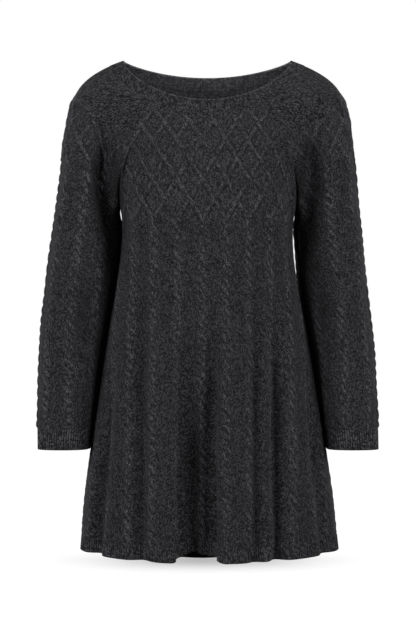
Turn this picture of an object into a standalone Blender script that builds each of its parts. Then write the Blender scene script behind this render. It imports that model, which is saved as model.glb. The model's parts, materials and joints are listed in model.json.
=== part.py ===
"""Boat neck sweater: a long cable-knit tunic, filled out and hollow, as if on a wearer.

Metres, +Z up. The front faces -Y. Left and right are the wearer's, so left is at +X. The
origin lies midway between the two ends of the neckline, on top of the shoulders, where a
wearer holds the garment up.

Every panel is a grid laid on one form. Below the arms the form is a body tube and two
sleeve tubes, whose rings come from short tables of levels. Above the arms each column of
the form is one curve, from the neckline down to the top ring of its tube.
"""
import math
from collections import namedtuple

import bmesh
import bpy
import numpy as np

COLLECTION = "boat_neck_sweater"

# Cloth
WALL = 0.0025            # thickness of the knitted cloth
SEAM = 0.0003            # clear space between two pieces at a seam
RAGLAN_SEAM = 0.0006     # the same at the raglans, where the inner edges lean together
SEAM_STRIP = 0.0025      # width of the first row or column beside a seam
WELD = 0.00001           # points of a closed tube nearer than this are one

# Neckline
NECK_HALF = 0.1424       # half the width of the opening
NECK_SHIFT = -0.0015     # the opening sits a little to the wearer's right
NECK_TIP_Y = 0.008       # the shoulder line lies a little behind the side line
NECK_FRONT = 0.078       # reach of the front edge from the shoulder line
NECK_BACK = 0.072        # reach of the back edge from the shoulder line
DROP_FRONT = 0.073       # how far the front edge dips
DROP_BACK = 0.0215
DIP_FRONT = 1.35         # the power that shapes the dip: a low one gives a round scoop
DIP_BACK = 1.9
NECKBAND = 0.025         # depth of the ribbed neckband

# Raglan lines: where each leaves the neckline, as an angle from the centre front
RAGLAN_FRONT = math.radians(34)
RAGLAN_BACK = math.radians(140)

RAGLAN_EASE = 0.2        # share of a panel's width over which it turns to hang straight at a raglan

# Slope of the cloth where it leaves the neckline: at the centres and at the tips
OUT_CENTRE = 0.50
OUT_BACK = 0.15          # the same at the centre back, where it stands nearly upright
OUT_TIP = 1.00
DOWN_CENTRE = 0.86
DOWN_TIP = 0.35
# Handles of the yoke curves, as shares of the way from neckline to ring
NECK_HANDLE_CENTRE = 0.33
NECK_HANDLE_TIP = 0.42
RING_HANDLE_CENTRE = 0.33
RING_HANDLE_TIP = 0.65

# Underarm: a short straight seam from front to back, where body and sleeve part
ARMPIT_LEVEL = -0.238
ARMPIT_X = 0.1497
ARMPIT_FRONT = -0.024
ARMPIT_BACK = 0.030
ARMPIT_EASE = 0.030      # the rings round off beyond the seam over this length
ARMPIT_FADE = 0.036      # and its pull dies away over this height

# Ends of the tubes
HEM_LEVEL = -0.8425
HEM_SIDE = 0.0130        # the hem is this much higher at the sides
HEM_BACK = -0.0165       # and this much lower at the centre back
HEM_BAND = 0.025
CUFF_LEVEL = -0.6595
CUFF_BAND = 0.034

SQUARE = 0.035           # how far the body rings swell between front and side
SQUARE_ARM = 0.060       # the same for the sleeve rings
ARM_CLEAR = 0.0012       # an arm hangs at least this far from the body's side
ARM_ROUND = 0.0030       # and bends round it this softly

Body = namedtuple("Body", "level right left front back")
BODY = [
    Body(-0.238, 0.1470, 0.1480, 0.112, 0.098),
    Body(-0.312, 0.1475, 0.1445, 0.114, 0.097),
    Body(-0.374, 0.1545, 0.1505, 0.115, 0.098),
    Body(-0.443, 0.1655, 0.1640, 0.116, 0.100),
    Body(-0.544, 0.1810, 0.1810, 0.118, 0.104),
    Body(-0.651, 0.1970, 0.1980, 0.121, 0.108),
    Body(-0.731, 0.2075, 0.2090, 0.123, 0.111),
    Body(-0.8425, 0.2165, 0.2215, 0.125, 0.114),
]

# Reach of each sleeve ring: outwards and inwards on both arms, then forwards and back
Arm = namedtuple("Arm", "level outer_right outer_left inner_right inner_left front back")
ARM = [
    Arm(-0.238, 0.2560, 0.2545, 0.1500, 0.1500, 0.052, 0.070),
    Arm(-0.262, 0.2595, 0.2570, 0.1514, 0.1497, 0.052, 0.071),
    Arm(-0.300, 0.2645, 0.2605, 0.1500, 0.1537, 0.053, 0.070),
    Arm(-0.374, 0.2740, 0.2685, 0.1590, 0.1592, 0.055, 0.067),
    Arm(-0.443, 0.2805, 0.2750, 0.1710, 0.1690, 0.058, 0.062),
    Arm(-0.510, 0.2850, 0.2815, 0.1835, 0.1830, 0.061, 0.054),
    Arm(-0.578, 0.2880, 0.2860, 0.1922, 0.1915, 0.062, 0.043),
    Arm(-0.629, 0.2880, 0.2875, 0.1985, 0.1985, 0.061, 0.034),
    Arm(-0.6595, 0.2875, 0.2880, 0.2022, 0.2018, 0.060, 0.029),
]

# Folds of the body. Across is a fold's distance from the centre line at the armpits and at
# the hem. It grows from its start to its full depth, and rise is how far it lifts the hem.
Fold = namedtuple("Fold", "side across_top across_hem start full depth width rise")
BODY_FOLDS = [
    Fold("front", -0.015, -0.016, -0.40, -0.72, 0.042, 0.031, 0.010),
    Fold("front", -0.046, -0.043, -0.36, -0.62, 0.012, 0.016, 0.000),
    Fold("front", -0.030, -0.027, -0.38, -0.60, 0.004, 0.012, 0.006),
    Fold("front", 0.006, 0.007, -0.38, -0.60, 0.010, 0.011, 0.000),
    Fold("front", -0.107, -0.108, -0.26, -0.62, 0.015, 0.016, 0.001),
    Fold("front", 0.077, 0.078, -0.28, -0.62, 0.016, 0.013, 0.000),
    Fold("front", 0.107, 0.113, -0.38, -0.60, 0.022, 0.014, 0.001),
    Fold("front", -0.130, -0.186, -0.44, -0.66, 0.017, 0.015, 0.001),
    Fold("front", 0.132, 0.196, -0.44, -0.66, 0.014, 0.016, 0.000),
    Fold("back", -0.110, -0.128, -0.30, -0.60, 0.016, 0.016, 0.001),
    Fold("back", -0.050, -0.054, -0.38, -0.66, 0.024, 0.016, 0.003),
    Fold("back", 0.022, 0.020, -0.30, -0.62, 0.028, 0.016, 0.004),
    Fold("back", 0.084, 0.094, -0.36, -0.64, 0.018, 0.016, 0.001),
    Fold("back", 0.130, 0.158, -0.44, -0.66, 0.012, 0.014, 0.000),
]

# Folds of the sleeves, each at an angle round the sleeve from its inner line by the front.
# A fold has the top share of its depth at the armpit, and dies away at its end. A depth
# below zero is a swell.
Crease = namedtuple("Crease", "sleeve angle_top angle_end end depth top_share width")
SLEEVE_FOLDS = [
    Crease("right", 334, 326, -0.95, -0.011, 0.0, 0.024),
    Crease("left", 334, 326, -0.95, -0.010, 0.0, 0.024),
    Crease("right", 262, 268, -0.52, 0.009, 0.4, 0.018),
    Crease("left", 258, 266, -0.50, 0.010, 0.5, 0.018),
]
CREASE_GROWTH = 0.060    # a sleeve fold reaches its full depth this far below the armpit
CREASE_END = 0.4         # the last share of its length, over which it dies away
WIDE_FOLD = 0.03         # a fold at least this wide has a flat floor and steep sides

# Hollows beside the arms, and the soft ridges along the raglans. Each is a line of levels,
# with how far out it lies and how deep it is pressed, and it dies away over a width on its
# inner side and another on its outer side. A depth below zero is a ridge.
Hollow = namedtuple("Hollow", "arm side inside outside points")
HOLLOWS = [
    Hollow("right", "front", 0.029, 0.010, [
        (-0.070, 0.178, 0.000), (-0.100, 0.178, 0.007), (-0.125, 0.176, 0.014), (-0.150, 0.178, 0.021),
        (-0.187, 0.187, 0.030), (-0.212, 0.184, 0.032), (-0.238, 0.180, 0.032), (-0.289, 0.173, 0.028),
        (-0.330, 0.169, 0.016), (-0.370, 0.168, 0.000)]),
    Hollow("left", "front", 0.024, 0.018, [
        (-0.070, 0.180, 0.000), (-0.100, 0.180, 0.007), (-0.125, 0.177, 0.015), (-0.161, 0.178, 0.024),
        (-0.187, 0.179, 0.028), (-0.212, 0.178, 0.030), (-0.238, 0.175, 0.030), (-0.289, 0.170, 0.027),
        (-0.330, 0.166, 0.015), (-0.370, 0.165, 0.000)]),
    Hollow("right", "front", 0.016, 0.022, [
        (-0.095, 0.106, 0.000), (-0.140, 0.130, -0.006), (-0.170, 0.141, -0.010), (-0.190, 0.147, -0.009),
        (-0.220, 0.149, -0.003), (-0.240, 0.150, 0.000)]),
    Hollow("left", "front", 0.016, 0.022, [
        (-0.095, 0.106, 0.000), (-0.140, 0.130, -0.006), (-0.170, 0.141, -0.010), (-0.190, 0.147, -0.009),
        (-0.220, 0.149, -0.003), (-0.240, 0.150, 0.000)]),
    Hollow("right", "front", 0.0035, 0.010, [
        (-0.110, 0.113, 0.000), (-0.136, 0.126, -0.004), (-0.161, 0.1364, -0.009), (-0.187, 0.144, -0.010),
        (-0.212, 0.148, -0.007), (-0.234, 0.150, 0.000)]),
    Hollow("left", "front", 0.0045, 0.009, [
        (-0.110, 0.113, 0.000), (-0.136, 0.126, -0.005), (-0.161, 0.1366, -0.010), (-0.187, 0.144, -0.005),
        (-0.212, 0.148, -0.004), (-0.234, 0.150, 0.000)]),
    Hollow("right", "back", 0.016, 0.011, [
        (-0.080, 0.170, 0.000), (-0.130, 0.177, 0.011), (-0.190, 0.184, 0.015), (-0.260, 0.186, 0.012),
        (-0.360, 0.190, 0.000)]),
    Hollow("left", "back", 0.018, 0.012, [
        (-0.085, 0.168, 0.000), (-0.130, 0.175, 0.012), (-0.185, 0.182, 0.014), (-0.270, 0.187, 0.010),
        (-0.380, 0.192, 0.000)]),
]
HOLLOW_REACH = 0.030     # a hollow of the front dies away this far behind the side line

# How finely the pieces are cut
HALF_COLUMNS = 11        # from the centre of a body panel to its raglan
GUSSET_COLUMNS = 2       # from the raglan's end to the side seam
SLEEVE_COLUMNS = 7       # from the outer line of a sleeve to its raglan
YOKE_ROWS = 6
BODY_ROWS = 10
SLEEVE_YOKE_ROWS = 7
SLEEVE_ROWS = 9
BAND_ROWS = 1
YOKE_STRIP = 0.02        # the first yoke row, as a share of the way to the armpit ring
RING = 720               # steps round a ring while it is worked out
CURVE = 40               # steps down a yoke curve while it is worked out
RUN_FALL = 0.001         # fall over which a tube's direction is taken at its top
TURN = np.linspace(0, 2 * math.pi, RING + 1)


# ---------------------------------------------------------------- curves
def read(table, column, level):
    """A column of a table at any level, on a cubic through its rows."""
    knots = np.array([row.level for row in table])
    values = np.array([getattr(row, column) for row in table])
    slopes = np.gradient(values, knots)
    level = min(max(level, knots[-1]), knots[0])
    row = min(int(np.sum(knots > level)), len(knots) - 1)
    row = max(row - 1, 0)
    span = knots[row + 1] - knots[row]
    part = (level - knots[row]) / span
    start = (1 + 2 * part) * (1 - part) ** 2 * values[row] + part * (1 - part) ** 2 * span * slopes[row]
    stop = part**2 * (3 - 2 * part) * values[row + 1] - part**2 * (1 - part) * span * slopes[row + 1]
    return start + stop


def ease(value):
    """0 below 0, 1 above 1, and smooth between."""
    value = np.clip(value, 0, 1)
    return value * value * (3 - 2 * value)


def lengths(points):
    """Distance along a line of points, from its first point."""
    steps = np.linalg.norm(np.diff(points, axis=0), axis=1)
    return np.concatenate([[0], np.cumsum(steps)])


def pick(points, distance, where):
    """Points at given distances along a measured line."""
    return np.stack([np.interp(where, distance, points[:, axis]) for axis in range(3)], axis=-1)


def press(ring, angle, depth, width):
    """Press a soft trough into a ring, and return how much of it each point takes."""
    run = np.gradient(ring[:, :2], axis=0)
    out = np.stack([run[:, 1], -run[:, 0]], axis=1) / np.linalg.norm(run, axis=1, keepdims=True)
    distance = lengths(ring)
    power = 4 if width >= WIDE_FOLD else 2
    take = np.exp(-(((distance - np.interp(angle, TURN, distance)) / width) ** power))
    ring[:, :2] -= (depth * take)[:, None] * out
    return take


def pull_to_armpit(ring, target, level, inner=True):
    """Draw the points beside the underarm seam to its straight line."""
    beyond = np.maximum(np.maximum(ARMPIT_FRONT - ring[:, 1], ring[:, 1] - ARMPIT_BACK), 0)
    pull = (1 - ease(beyond / ARMPIT_EASE)) * (1 - ease((ARMPIT_LEVEL - level) / ARMPIT_FADE))
    ring[:, 0] += pull * inner * (target - ring[:, 0])


# ---------------------------------------------------------------- rings of the form
def body_ring(fall):
    """The body at a fall from 0, the armpits, to 1, the hem.

    The ring starts at the centre back and goes by the right side, the front and the left.
    """
    level = ARMPIT_LEVEL + (HEM_LEVEL - ARMPIT_LEVEL) * fall
    turn = TURN - math.pi
    width = np.where(np.sin(turn) > 0, read(BODY, "left", level), read(BODY, "right", level))
    depth = np.where(np.cos(turn) > 0, read(BODY, "front", level), read(BODY, "back", level))
    swell = 1 + SQUARE * np.sin(2 * turn) ** 2
    ring = np.stack([width * np.sin(turn) * swell, -depth * np.cos(turn) * swell, 0 * turn], axis=1)
    pull_to_armpit(ring, np.sign(np.sin(turn)) * (ARMPIT_X - SEAM / 2), level)

    hem = HEM_LEVEL + HEM_SIDE * np.sin(turn) ** 2
    hem = hem + np.where(np.cos(turn) < 0, HEM_BACK * np.cos(turn) ** 2, 0)
    for fold in BODY_FOLDS:
        if level >= fold.start:
            continue
        across = fold.across_top + (fold.across_hem - fold.across_top) * fall
        angle = math.asin(across / read(BODY, "left" if across > 0 else "right", level))
        if fold.side == "back":
            angle = math.copysign(math.pi, across) - angle
        grown = ease((fold.start - level) / (fold.start - fold.full))
        hem = hem + fold.rise * press(ring, angle + math.pi, fold.depth * grown, fold.width)
    ring[:, 2] = ARMPIT_LEVEL + (hem - ARMPIT_LEVEL) * fall
    return ring


def lean_on_body(ring, side, level):
    """Keep an arm just clear of the body it hangs against."""
    outline = body_ring((ARMPIT_LEVEL - level) / (ARMPIT_LEVEL - HEM_LEVEL - HEM_SIDE))
    outline = outline[(outline[:, 0] > 0) == (side == "left")]
    outline = outline[np.argsort(outline[:, 1])]
    room = ring[:, 0] - np.interp(ring[:, 1], outline[:, 1], abs(outline[:, 0])) - ARM_CLEAR
    pushed = (np.sqrt(room**2 + ARM_ROUND**2) - room) / 2
    ring[:, 0] += pushed * ease((ARMPIT_LEVEL - level) / ARMPIT_FADE)


def sleeve_ring(side, fall):
    """A sleeve at a fall from 0, the armpit, to 1, the end of the cuff.

    The ring is that of a left arm. It starts at the inner line and goes by the front.
    """
    level = ARMPIT_LEVEL + (CUFF_LEVEL - ARMPIT_LEVEL) * fall
    outer, inner = read(ARM, "outer_" + side, level), read(ARM, "inner_" + side, level)
    front, back = read(ARM, "front", level), read(ARM, "back", level)
    swell = 1 + SQUARE_ARM * np.sin(2 * TURN) ** 2
    x = (outer + inner) / 2 - (outer - inner) / 2 * np.cos(TURN) * swell
    y = (back - front) / 2 - (back + front) / 2 * np.sin(TURN) * swell
    ring = np.stack([x, y, 0 * TURN + level], axis=1)
    for fold in SLEEVE_FOLDS:
        if fold.sleeve == side and level > fold.end:
            part = (ARMPIT_LEVEL - level) / (ARMPIT_LEVEL - fold.end)
            angle = math.radians(fold.angle_top + (fold.angle_end - fold.angle_top) * part)
            grown = fold.top_share + (1 - fold.top_share) * ease((ARMPIT_LEVEL - level) / CREASE_GROWTH)
            press(ring, angle, fold.depth * grown * ease((1 - part) / CREASE_END), fold.width)
    lean_on_body(ring, side, level)
    pull_to_armpit(ring, ARMPIT_X + SEAM / 2, level, np.cos(TURN) > 0)
    return ring


def sink(points, arm=None):
    """Press the hollows into points of the body, or of one arm worked out as a left one."""
    across, forward, level = np.moveaxis(points, -1, 0)
    pressed = np.zeros_like(forward)
    for hollow in HOLLOWS:
        on_left = hollow.arm == "left"
        mine = (across > 0) == on_left if arm is None else arm == hollow.arm
        facing = 1 if hollow.side == "front" else -1
        falls, lines, depths = np.array(hollow.points).T
        offset = abs(across) - np.interp(-level, -falls, lines)
        width = np.where(offset < 0, hollow.inside, hollow.outside)
        depth = np.interp(-level, -falls, depths, left=0, right=0)
        reach = ease((HOLLOW_REACH - facing * forward) / HOLLOW_REACH)
        pressed = pressed + mine * facing * depth * reach * np.exp(-((offset / width) ** 2))
    return points + pressed[..., None] * np.array([0, 1.0, 0])


class Tube:
    """A tube of the form. Its share is a whole number at each of its bounding lines."""

    def __init__(self, ring, sides):
        self.ring = ring
        self.sides = sides
        self.kept = {}

    def place(self, fall, share):
        """Points at a fall down the tube and at shares round it."""
        if fall not in self.kept:
            ring = self.ring(fall)
            self.kept[fall] = ring, lengths(ring)
        ring, distance = self.kept[fall]
        bounds = distance[:: RING // self.sides]
        where = np.interp(np.mod(share, self.sides), range(self.sides + 1), bounds)
        return pick(ring, distance, where)

    def run(self, share):
        """Directions down the tube where it starts."""
        step = self.place(RUN_FALL, share) - self.place(0.0, share)
        return step / np.linalg.norm(step, axis=-1, keepdims=True)

    def share_at(self, depth, start, stop):
        """The share, between two, where the first ring passes a depth in Y."""
        shares = np.linspace(start, stop, RING)
        found = self.place(0.0, shares)[:, 1]
        order = np.argsort(found)
        return float(np.interp(depth, found[order], shares[order]))


def yoke_curves(angle, end, run, shift):
    """Curves from the neckline, at angles from the centre front, to points of a ring."""
    tip = np.sin(angle) ** 2
    facing = np.cos(angle)
    reach = np.where(facing > 0, NECK_FRONT, NECK_BACK)
    drop = np.where(facing > 0, DROP_FRONT * abs(facing) ** DIP_FRONT, DROP_BACK * abs(facing) ** DIP_BACK)
    start = np.stack([shift + NECK_HALF * np.sin(angle), NECK_TIP_Y - reach * facing, -drop], axis=1)
    out = np.where(facing > 0, OUT_CENTRE, OUT_BACK)
    out = out + (OUT_TIP - out) * tip
    down = DOWN_CENTRE + (DOWN_TIP - DOWN_CENTRE) * tip
    leave = np.stack([out * np.sin(angle), -out * facing, -down], axis=1)
    way = np.linalg.norm(end - start, axis=1)
    near_handle = NECK_HANDLE_CENTRE + (NECK_HANDLE_TIP - NECK_HANDLE_CENTRE) * tip
    far_handle = RING_HANDLE_CENTRE + (RING_HANDLE_TIP - RING_HANDLE_CENTRE) * tip
    near = start + leave * (way * near_handle)[:, None]
    far = end - run * (way * far_handle)[:, None]
    step = np.linspace(0, 1, CURVE + 1)[:, None, None]
    rest = 1 - step
    return rest**3 * start + 3 * rest**2 * step * near + 3 * rest * step**2 * far + step**3 * end


# ---------------------------------------------------------------- panels
def spread(start, stop, count, first=0.0, last=0.0):
    """Even values from start to stop, with a narrow first or last step beside a seam."""
    values = np.linspace(start, stop, count + 1)
    if first:
        values = np.concatenate([values[:1], [start + first], values[1:]])
    if last:
        values = np.concatenate([values[:-1], [stop - last], values[-1:]])
    return values


class Panel:
    """The columns of one panel: its shares round the tube, and their neckline angles."""

    def __init__(self, tube, low, high, middle, neck, columns, gusset, shift, arm=None):
        girth = np.linalg.norm(np.diff(tube.place(0.0, np.linspace(low, high, RING)), axis=0), axis=1).sum()
        share = (high - low) / girth
        self.tube = tube
        self.arm = arm
        self.shift = shift
        gap = 0.0 if arm else share * SEAM / 2       # a sleeve is closed into a tube
        strip = share * SEAM_STRIP
        lean = share * RAGLAN_SEAM / 2
        self.yoke = spread(low + lean, high - lean, 2 * columns, strip, strip)
        self.angle = np.interp(self.yoke, [low, middle, high], neck)
        before, after = gusset
        self.before = spread(before + gap, self.yoke[0], GUSSET_COLUMNS, first=strip)[:-1]
        self.after = spread(self.yoke[-1], after - gap, GUSSET_COLUMNS, last=strip)[1:]
        self.shares = np.concatenate([self.before, self.yoke, self.after])

    def curves(self):
        """The yoke curves of the panel, each with the distances along it."""
        end = self.tube.place(0.0, self.yoke)
        inside = np.minimum(self.yoke - self.yoke[0], self.yoke[-1] - self.yoke)
        free = ease(inside / (RAGLAN_EASE * (self.yoke[-1] - self.yoke[0])))[:, None]
        run = self.tube.run(self.yoke) * free + np.array([0, 0, -1.0]) * (1 - free)
        curves = yoke_curves(self.angle, end, run, self.shift)
        return [(curves[:, column], lengths(curves[:, column])) for column in range(len(self.yoke))]

    def yoke_rows(self, falls):
        """Rows above the arms, at falls from 0, the neckband's seam, to 1, the armpit ring."""
        rows = np.full((len(falls), len(self.shares), 3), np.nan)
        for column, (curve, distance) in enumerate(self.curves()):
            where = NECKBAND + SEAM / 2 + (distance[-1] - NECKBAND - SEAM / 2) * np.asarray(falls)
            rows[:, len(self.before) + column] = pick(curve, distance, where)
        return sink(rows, self.arm)

    def band_rows(self, falls):
        """Rows of the neckband over this panel, at falls from 0, its edge, to 1, its seam."""
        where = (NECKBAND - SEAM / 2) * np.asarray(falls)
        return np.stack([pick(curve, distance, where) for curve, distance in self.curves()], axis=1)

    def tube_rows(self, falls):
        """Rows below the arms."""
        return sink(np.stack([self.tube.place(fall, self.shares) for fall in falls]), self.arm)


BODY_SIDES = 4           # centre back, right side, centre front, left side
SLEEVE_SIDES = 2         # inner line, outer line


def cut_panels():
    """The four panels of the form, and the falls of their lower seams."""
    body = Tube(body_ring, BODY_SIDES)
    panels = {}
    front = (body.share_at(ARMPIT_FRONT, 1.0, 1.5), body.share_at(ARMPIT_FRONT, 2.5, 3.0))
    back = (body.share_at(ARMPIT_BACK, 3.0, 3.5), body.share_at(ARMPIT_BACK, 0.5, 1.0) + BODY_SIDES)
    turn = math.pi
    panels["front"] = Panel(body, *front, 2.0, (-RAGLAN_FRONT, 0, RAGLAN_FRONT),
                            HALF_COLUMNS, (1.0, 3.0), NECK_SHIFT)
    panels["back"] = Panel(body, *back, 4.0, (RAGLAN_BACK, turn, 2 * turn - RAGLAN_BACK),
                           HALF_COLUMNS, (3.0, 5.0), NECK_SHIFT)
    for side, shift in (("left", NECK_SHIFT), ("right", -NECK_SHIFT)):
        tube = Tube(lambda fall, side=side: sleeve_ring(side, fall), SLEEVE_SIDES)
        ends = tube.share_at(ARMPIT_FRONT, 0.0, 0.5), tube.share_at(ARMPIT_BACK, 1.5, 2.0)
        middle = (ends[0] + ends[1] - SLEEVE_SIDES) / 2
        panels["sleeve_" + side] = Panel(tube, *ends, 1.0, (RAGLAN_FRONT, turn / 2, RAGLAN_BACK),
                                         SLEEVE_COLUMNS, (middle, middle + SLEEVE_SIDES), shift, side)
    return panels


# ---------------------------------------------------------------- meshes
def grid_mesh(name, rows, closed=False, mirrored=False):
    """An open sheet laid on rows of points, given from the top down."""
    rows = rows[::-1]
    if mirrored:
        rows = rows[:, ::-1] * (-1, 1, 1)
    height, width = rows.shape[0] - 1, rows.shape[1] - 1
    sheet = bmesh.new()
    bmesh.ops.create_grid(sheet, x_segments=width, y_segments=height, size=1)
    bare = []
    for vertex in sheet.verts:
        column = round((vertex.co.x + 1) / 2 * width)
        row = round((vertex.co.y + 1) / 2 * height)
        if np.isnan(rows[row, column, 0]):
            bare.append(vertex)
        else:
            vertex.co = rows[row, column]
    bmesh.ops.delete(sheet, geom=bare, context="VERTS")
    if closed:
        bmesh.ops.remove_doubles(sheet, verts=sheet.verts, dist=WELD)
    mesh = bpy.data.meshes.new(name)
    sheet.to_mesh(mesh)
    sheet.free()
    mesh.shade_smooth()
    return mesh


def material(name, colour, roughness):
    finish = bpy.data.materials.new(name)
    finish.use_nodes = True
    shader = finish.node_tree.nodes["Principled BSDF"]
    shader.inputs["Base Color"].default_value = (*colour, 1.0)
    shader.inputs["Roughness"].default_value = roughness
    shader.inputs["Metallic"].default_value = 0.0
    return finish


def wall(collection, name, mesh, finish):
    """An object of cloth: the sheet is its outer face, and the thickness lies inside."""
    piece = bpy.data.objects.new(name, mesh)
    mesh.materials.append(finish)
    collection.objects.link(piece)
    thick = piece.modifiers.new("wall", "SOLIDIFY")
    thick.thickness = WALL
    thick.offset = -1.0
    thick.use_rim = True
    thick.use_quality_normals = True
    return piece


def build():
    for old in list(bpy.data.objects):
        bpy.data.objects.remove(old, do_unlink=True)
    collection = bpy.data.collections.new(COLLECTION)
    bpy.context.scene.collection.children.link(collection)
    cable_knit = material("charcoal_cable_knit", (0.035, 0.035, 0.038), 0.95)
    rib_knit = material("charcoal_rib_knit", (0.033, 0.033, 0.036), 0.95)

    panels = cut_panels()
    hem_seam = 1 - HEM_BAND / (ARMPIT_LEVEL - HEM_LEVEL)
    cuff_seam = 1 - CUFF_BAND / (ARMPIT_LEVEL - CUFF_LEVEL)
    hem_gap = SEAM / 2 / (ARMPIT_LEVEL - HEM_LEVEL)
    cuff_gap = SEAM / 2 / (ARMPIT_LEVEL - CUFF_LEVEL)
    hem_strip = SEAM_STRIP / (ARMPIT_LEVEL - HEM_LEVEL)
    cuff_strip = SEAM_STRIP / (ARMPIT_LEVEL - CUFF_LEVEL)

    for name in ("front", "back"):
        panel = panels[name]
        yoke = panel.yoke_rows(spread(0, 1, YOKE_ROWS, first=YOKE_STRIP)[:-1])
        skirt = panel.tube_rows(spread(0, hem_seam - hem_gap, BODY_ROWS, last=hem_strip))
        wall(collection, name, grid_mesh(name, np.concatenate([yoke, skirt])), cable_knit)
        hem = panel.tube_rows(spread(hem_seam + hem_gap, 1, BAND_ROWS, first=hem_strip))
        wall(collection, "hem_" + name, grid_mesh("hem_" + name, hem), rib_knit)

    for side in ("left", "right"):
        panel = panels["sleeve_" + side]
        mirrored = side == "right"
        yoke = panel.yoke_rows(spread(0, 1, SLEEVE_YOKE_ROWS, first=YOKE_STRIP)[:-1])
        arm = panel.tube_rows(spread(0, cuff_seam - cuff_gap, SLEEVE_ROWS, last=cuff_strip))
        rows = np.concatenate([yoke, arm])
        name = "sleeve_" + side
        wall(collection, name, grid_mesh(name, rows, True, mirrored), cable_knit)
        cuff = panel.tube_rows(spread(cuff_seam + cuff_gap, 1, BAND_ROWS, first=cuff_strip))
        name = "cuff_" + side
        wall(collection, name, grid_mesh(name, cuff, True, mirrored), rib_knit)

    falls = spread(0, 1, BAND_ROWS, last=SEAM_STRIP / NECKBAND)
    left = panels["sleeve_left"].band_rows(falls)
    right = panels["sleeve_right"].band_rows(falls)[:, ::-1] * (-1, 1, 1)
    ring = [panels["front"].band_rows(falls), left, panels["back"].band_rows(falls), right]
    band = np.concatenate([*ring, ring[0][:, :1]], axis=1)
    wall(collection, "neckband", grid_mesh("neckband", band, True), rib_knit)


build()
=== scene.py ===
# %% [markdown]
# # A boat neck sweater in cable knit
# A long A-line tunic, filled out as if someone wore it, in a charcoal marl wool. The packed
# model gives its nine pieces as plain walls of cloth. Here each piece is made again on the
# same form, much finer, with its cables, ribs and stitches, and takes the place of its wall.

# %% Load the frame
import json
import math
from collections import namedtuple

import bmesh
import bpy
import numpy as np
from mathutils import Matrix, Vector

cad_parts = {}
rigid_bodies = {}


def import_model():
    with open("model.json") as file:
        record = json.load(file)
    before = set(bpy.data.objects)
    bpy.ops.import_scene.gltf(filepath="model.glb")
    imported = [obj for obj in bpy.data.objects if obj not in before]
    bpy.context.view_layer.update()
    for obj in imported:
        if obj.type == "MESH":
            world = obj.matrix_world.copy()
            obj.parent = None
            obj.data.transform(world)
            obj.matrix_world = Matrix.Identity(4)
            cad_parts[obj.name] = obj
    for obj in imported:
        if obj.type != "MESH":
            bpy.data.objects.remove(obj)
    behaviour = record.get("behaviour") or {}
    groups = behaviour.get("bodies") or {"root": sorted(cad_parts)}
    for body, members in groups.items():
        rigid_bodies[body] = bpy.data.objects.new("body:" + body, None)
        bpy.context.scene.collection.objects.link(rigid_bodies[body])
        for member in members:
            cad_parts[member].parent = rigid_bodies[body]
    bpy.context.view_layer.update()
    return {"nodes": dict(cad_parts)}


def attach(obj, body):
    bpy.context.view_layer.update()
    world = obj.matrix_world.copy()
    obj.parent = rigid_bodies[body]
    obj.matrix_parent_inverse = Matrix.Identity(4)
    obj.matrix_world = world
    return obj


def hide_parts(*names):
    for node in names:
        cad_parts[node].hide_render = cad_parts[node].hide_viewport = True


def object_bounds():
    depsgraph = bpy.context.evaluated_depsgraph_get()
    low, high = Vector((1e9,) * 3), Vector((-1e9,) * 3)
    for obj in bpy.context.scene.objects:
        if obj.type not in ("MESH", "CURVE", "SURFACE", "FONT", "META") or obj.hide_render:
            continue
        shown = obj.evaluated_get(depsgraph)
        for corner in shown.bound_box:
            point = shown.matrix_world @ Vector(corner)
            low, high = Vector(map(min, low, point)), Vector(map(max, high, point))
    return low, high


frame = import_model()
print("nodes:", ", ".join(sorted(frame["nodes"])))

# %% [markdown]
# ## The camera
# The camera stands well back and level with the middle of the garment, with a long lens, so
# the upright lines stay upright. Its lens follows from one number: how much of the garment's
# middle plane each step of the picture covers.

# %% Camera
CAMERA_BACK = 3.6         # metres in front of the garment's middle plane
CAMERA_HEIGHT = -0.428
SENSOR = 36               # millimetres, along the height of the picture
PICTURE_HEIGHT = 624      # steps
STEP_ON_GARMENT = 0.0017  # metres of the middle plane to each step of the picture

camera_data = bpy.data.cameras.new("camera")
camera_data.sensor_width = SENSOR
camera_data.lens = SENSOR * CAMERA_BACK / (STEP_ON_GARMENT * PICTURE_HEIGHT)
camera = bpy.data.objects.new("camera", camera_data)
camera.location = (0, -CAMERA_BACK, CAMERA_HEIGHT)
camera.rotation_euler = (math.pi / 2, 0, 0)
bpy.context.scene.collection.objects.link(camera)
bpy.context.scene.camera = camera
print("lens: %.1f mm" % camera_data.lens)

# %% [markdown]
# ## The form of the garment
# Below the arms the garment is three tubes: the body, and a sleeve on each side. A tube is a
# stack of rings, and short tables say how far each ring reaches. Above the arms each column
# of knitting is one curve, from the neckline to the top ring of its tube. These are the same
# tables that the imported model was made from, so the new cloth lies where the old walls lie.

# %% Measures of the garment, in metres
WALL = 0.0025            # thickness of the knitted cloth
WELD = 0.00001           # points of a closed tube nearer than this are one

NECK_HALF = 0.1424       # half the width of the neck opening
NECK_SHIFT = -0.0015     # the opening sits a little to the wearer's right
NECK_TIP_Y = 0.008       # the shoulder line lies a little behind the side line
NECK_FRONT = 0.078       # reach of the front edge from the shoulder line
NECK_BACK = 0.072
DROP_FRONT = 0.073       # how far the front edge dips
DROP_BACK = 0.0215
DIP_FRONT = 1.35         # the power that shapes the dip
DIP_BACK = 1.9
NECKBAND = 0.025         # depth of the ribbed neckband
RAGLAN_FRONT = math.radians(34)     # where each raglan line leaves the neckline
RAGLAN_BACK = math.radians(140)
RAGLAN_EASE = 0.2        # share of a panel's width over which it turns to hang straight

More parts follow.
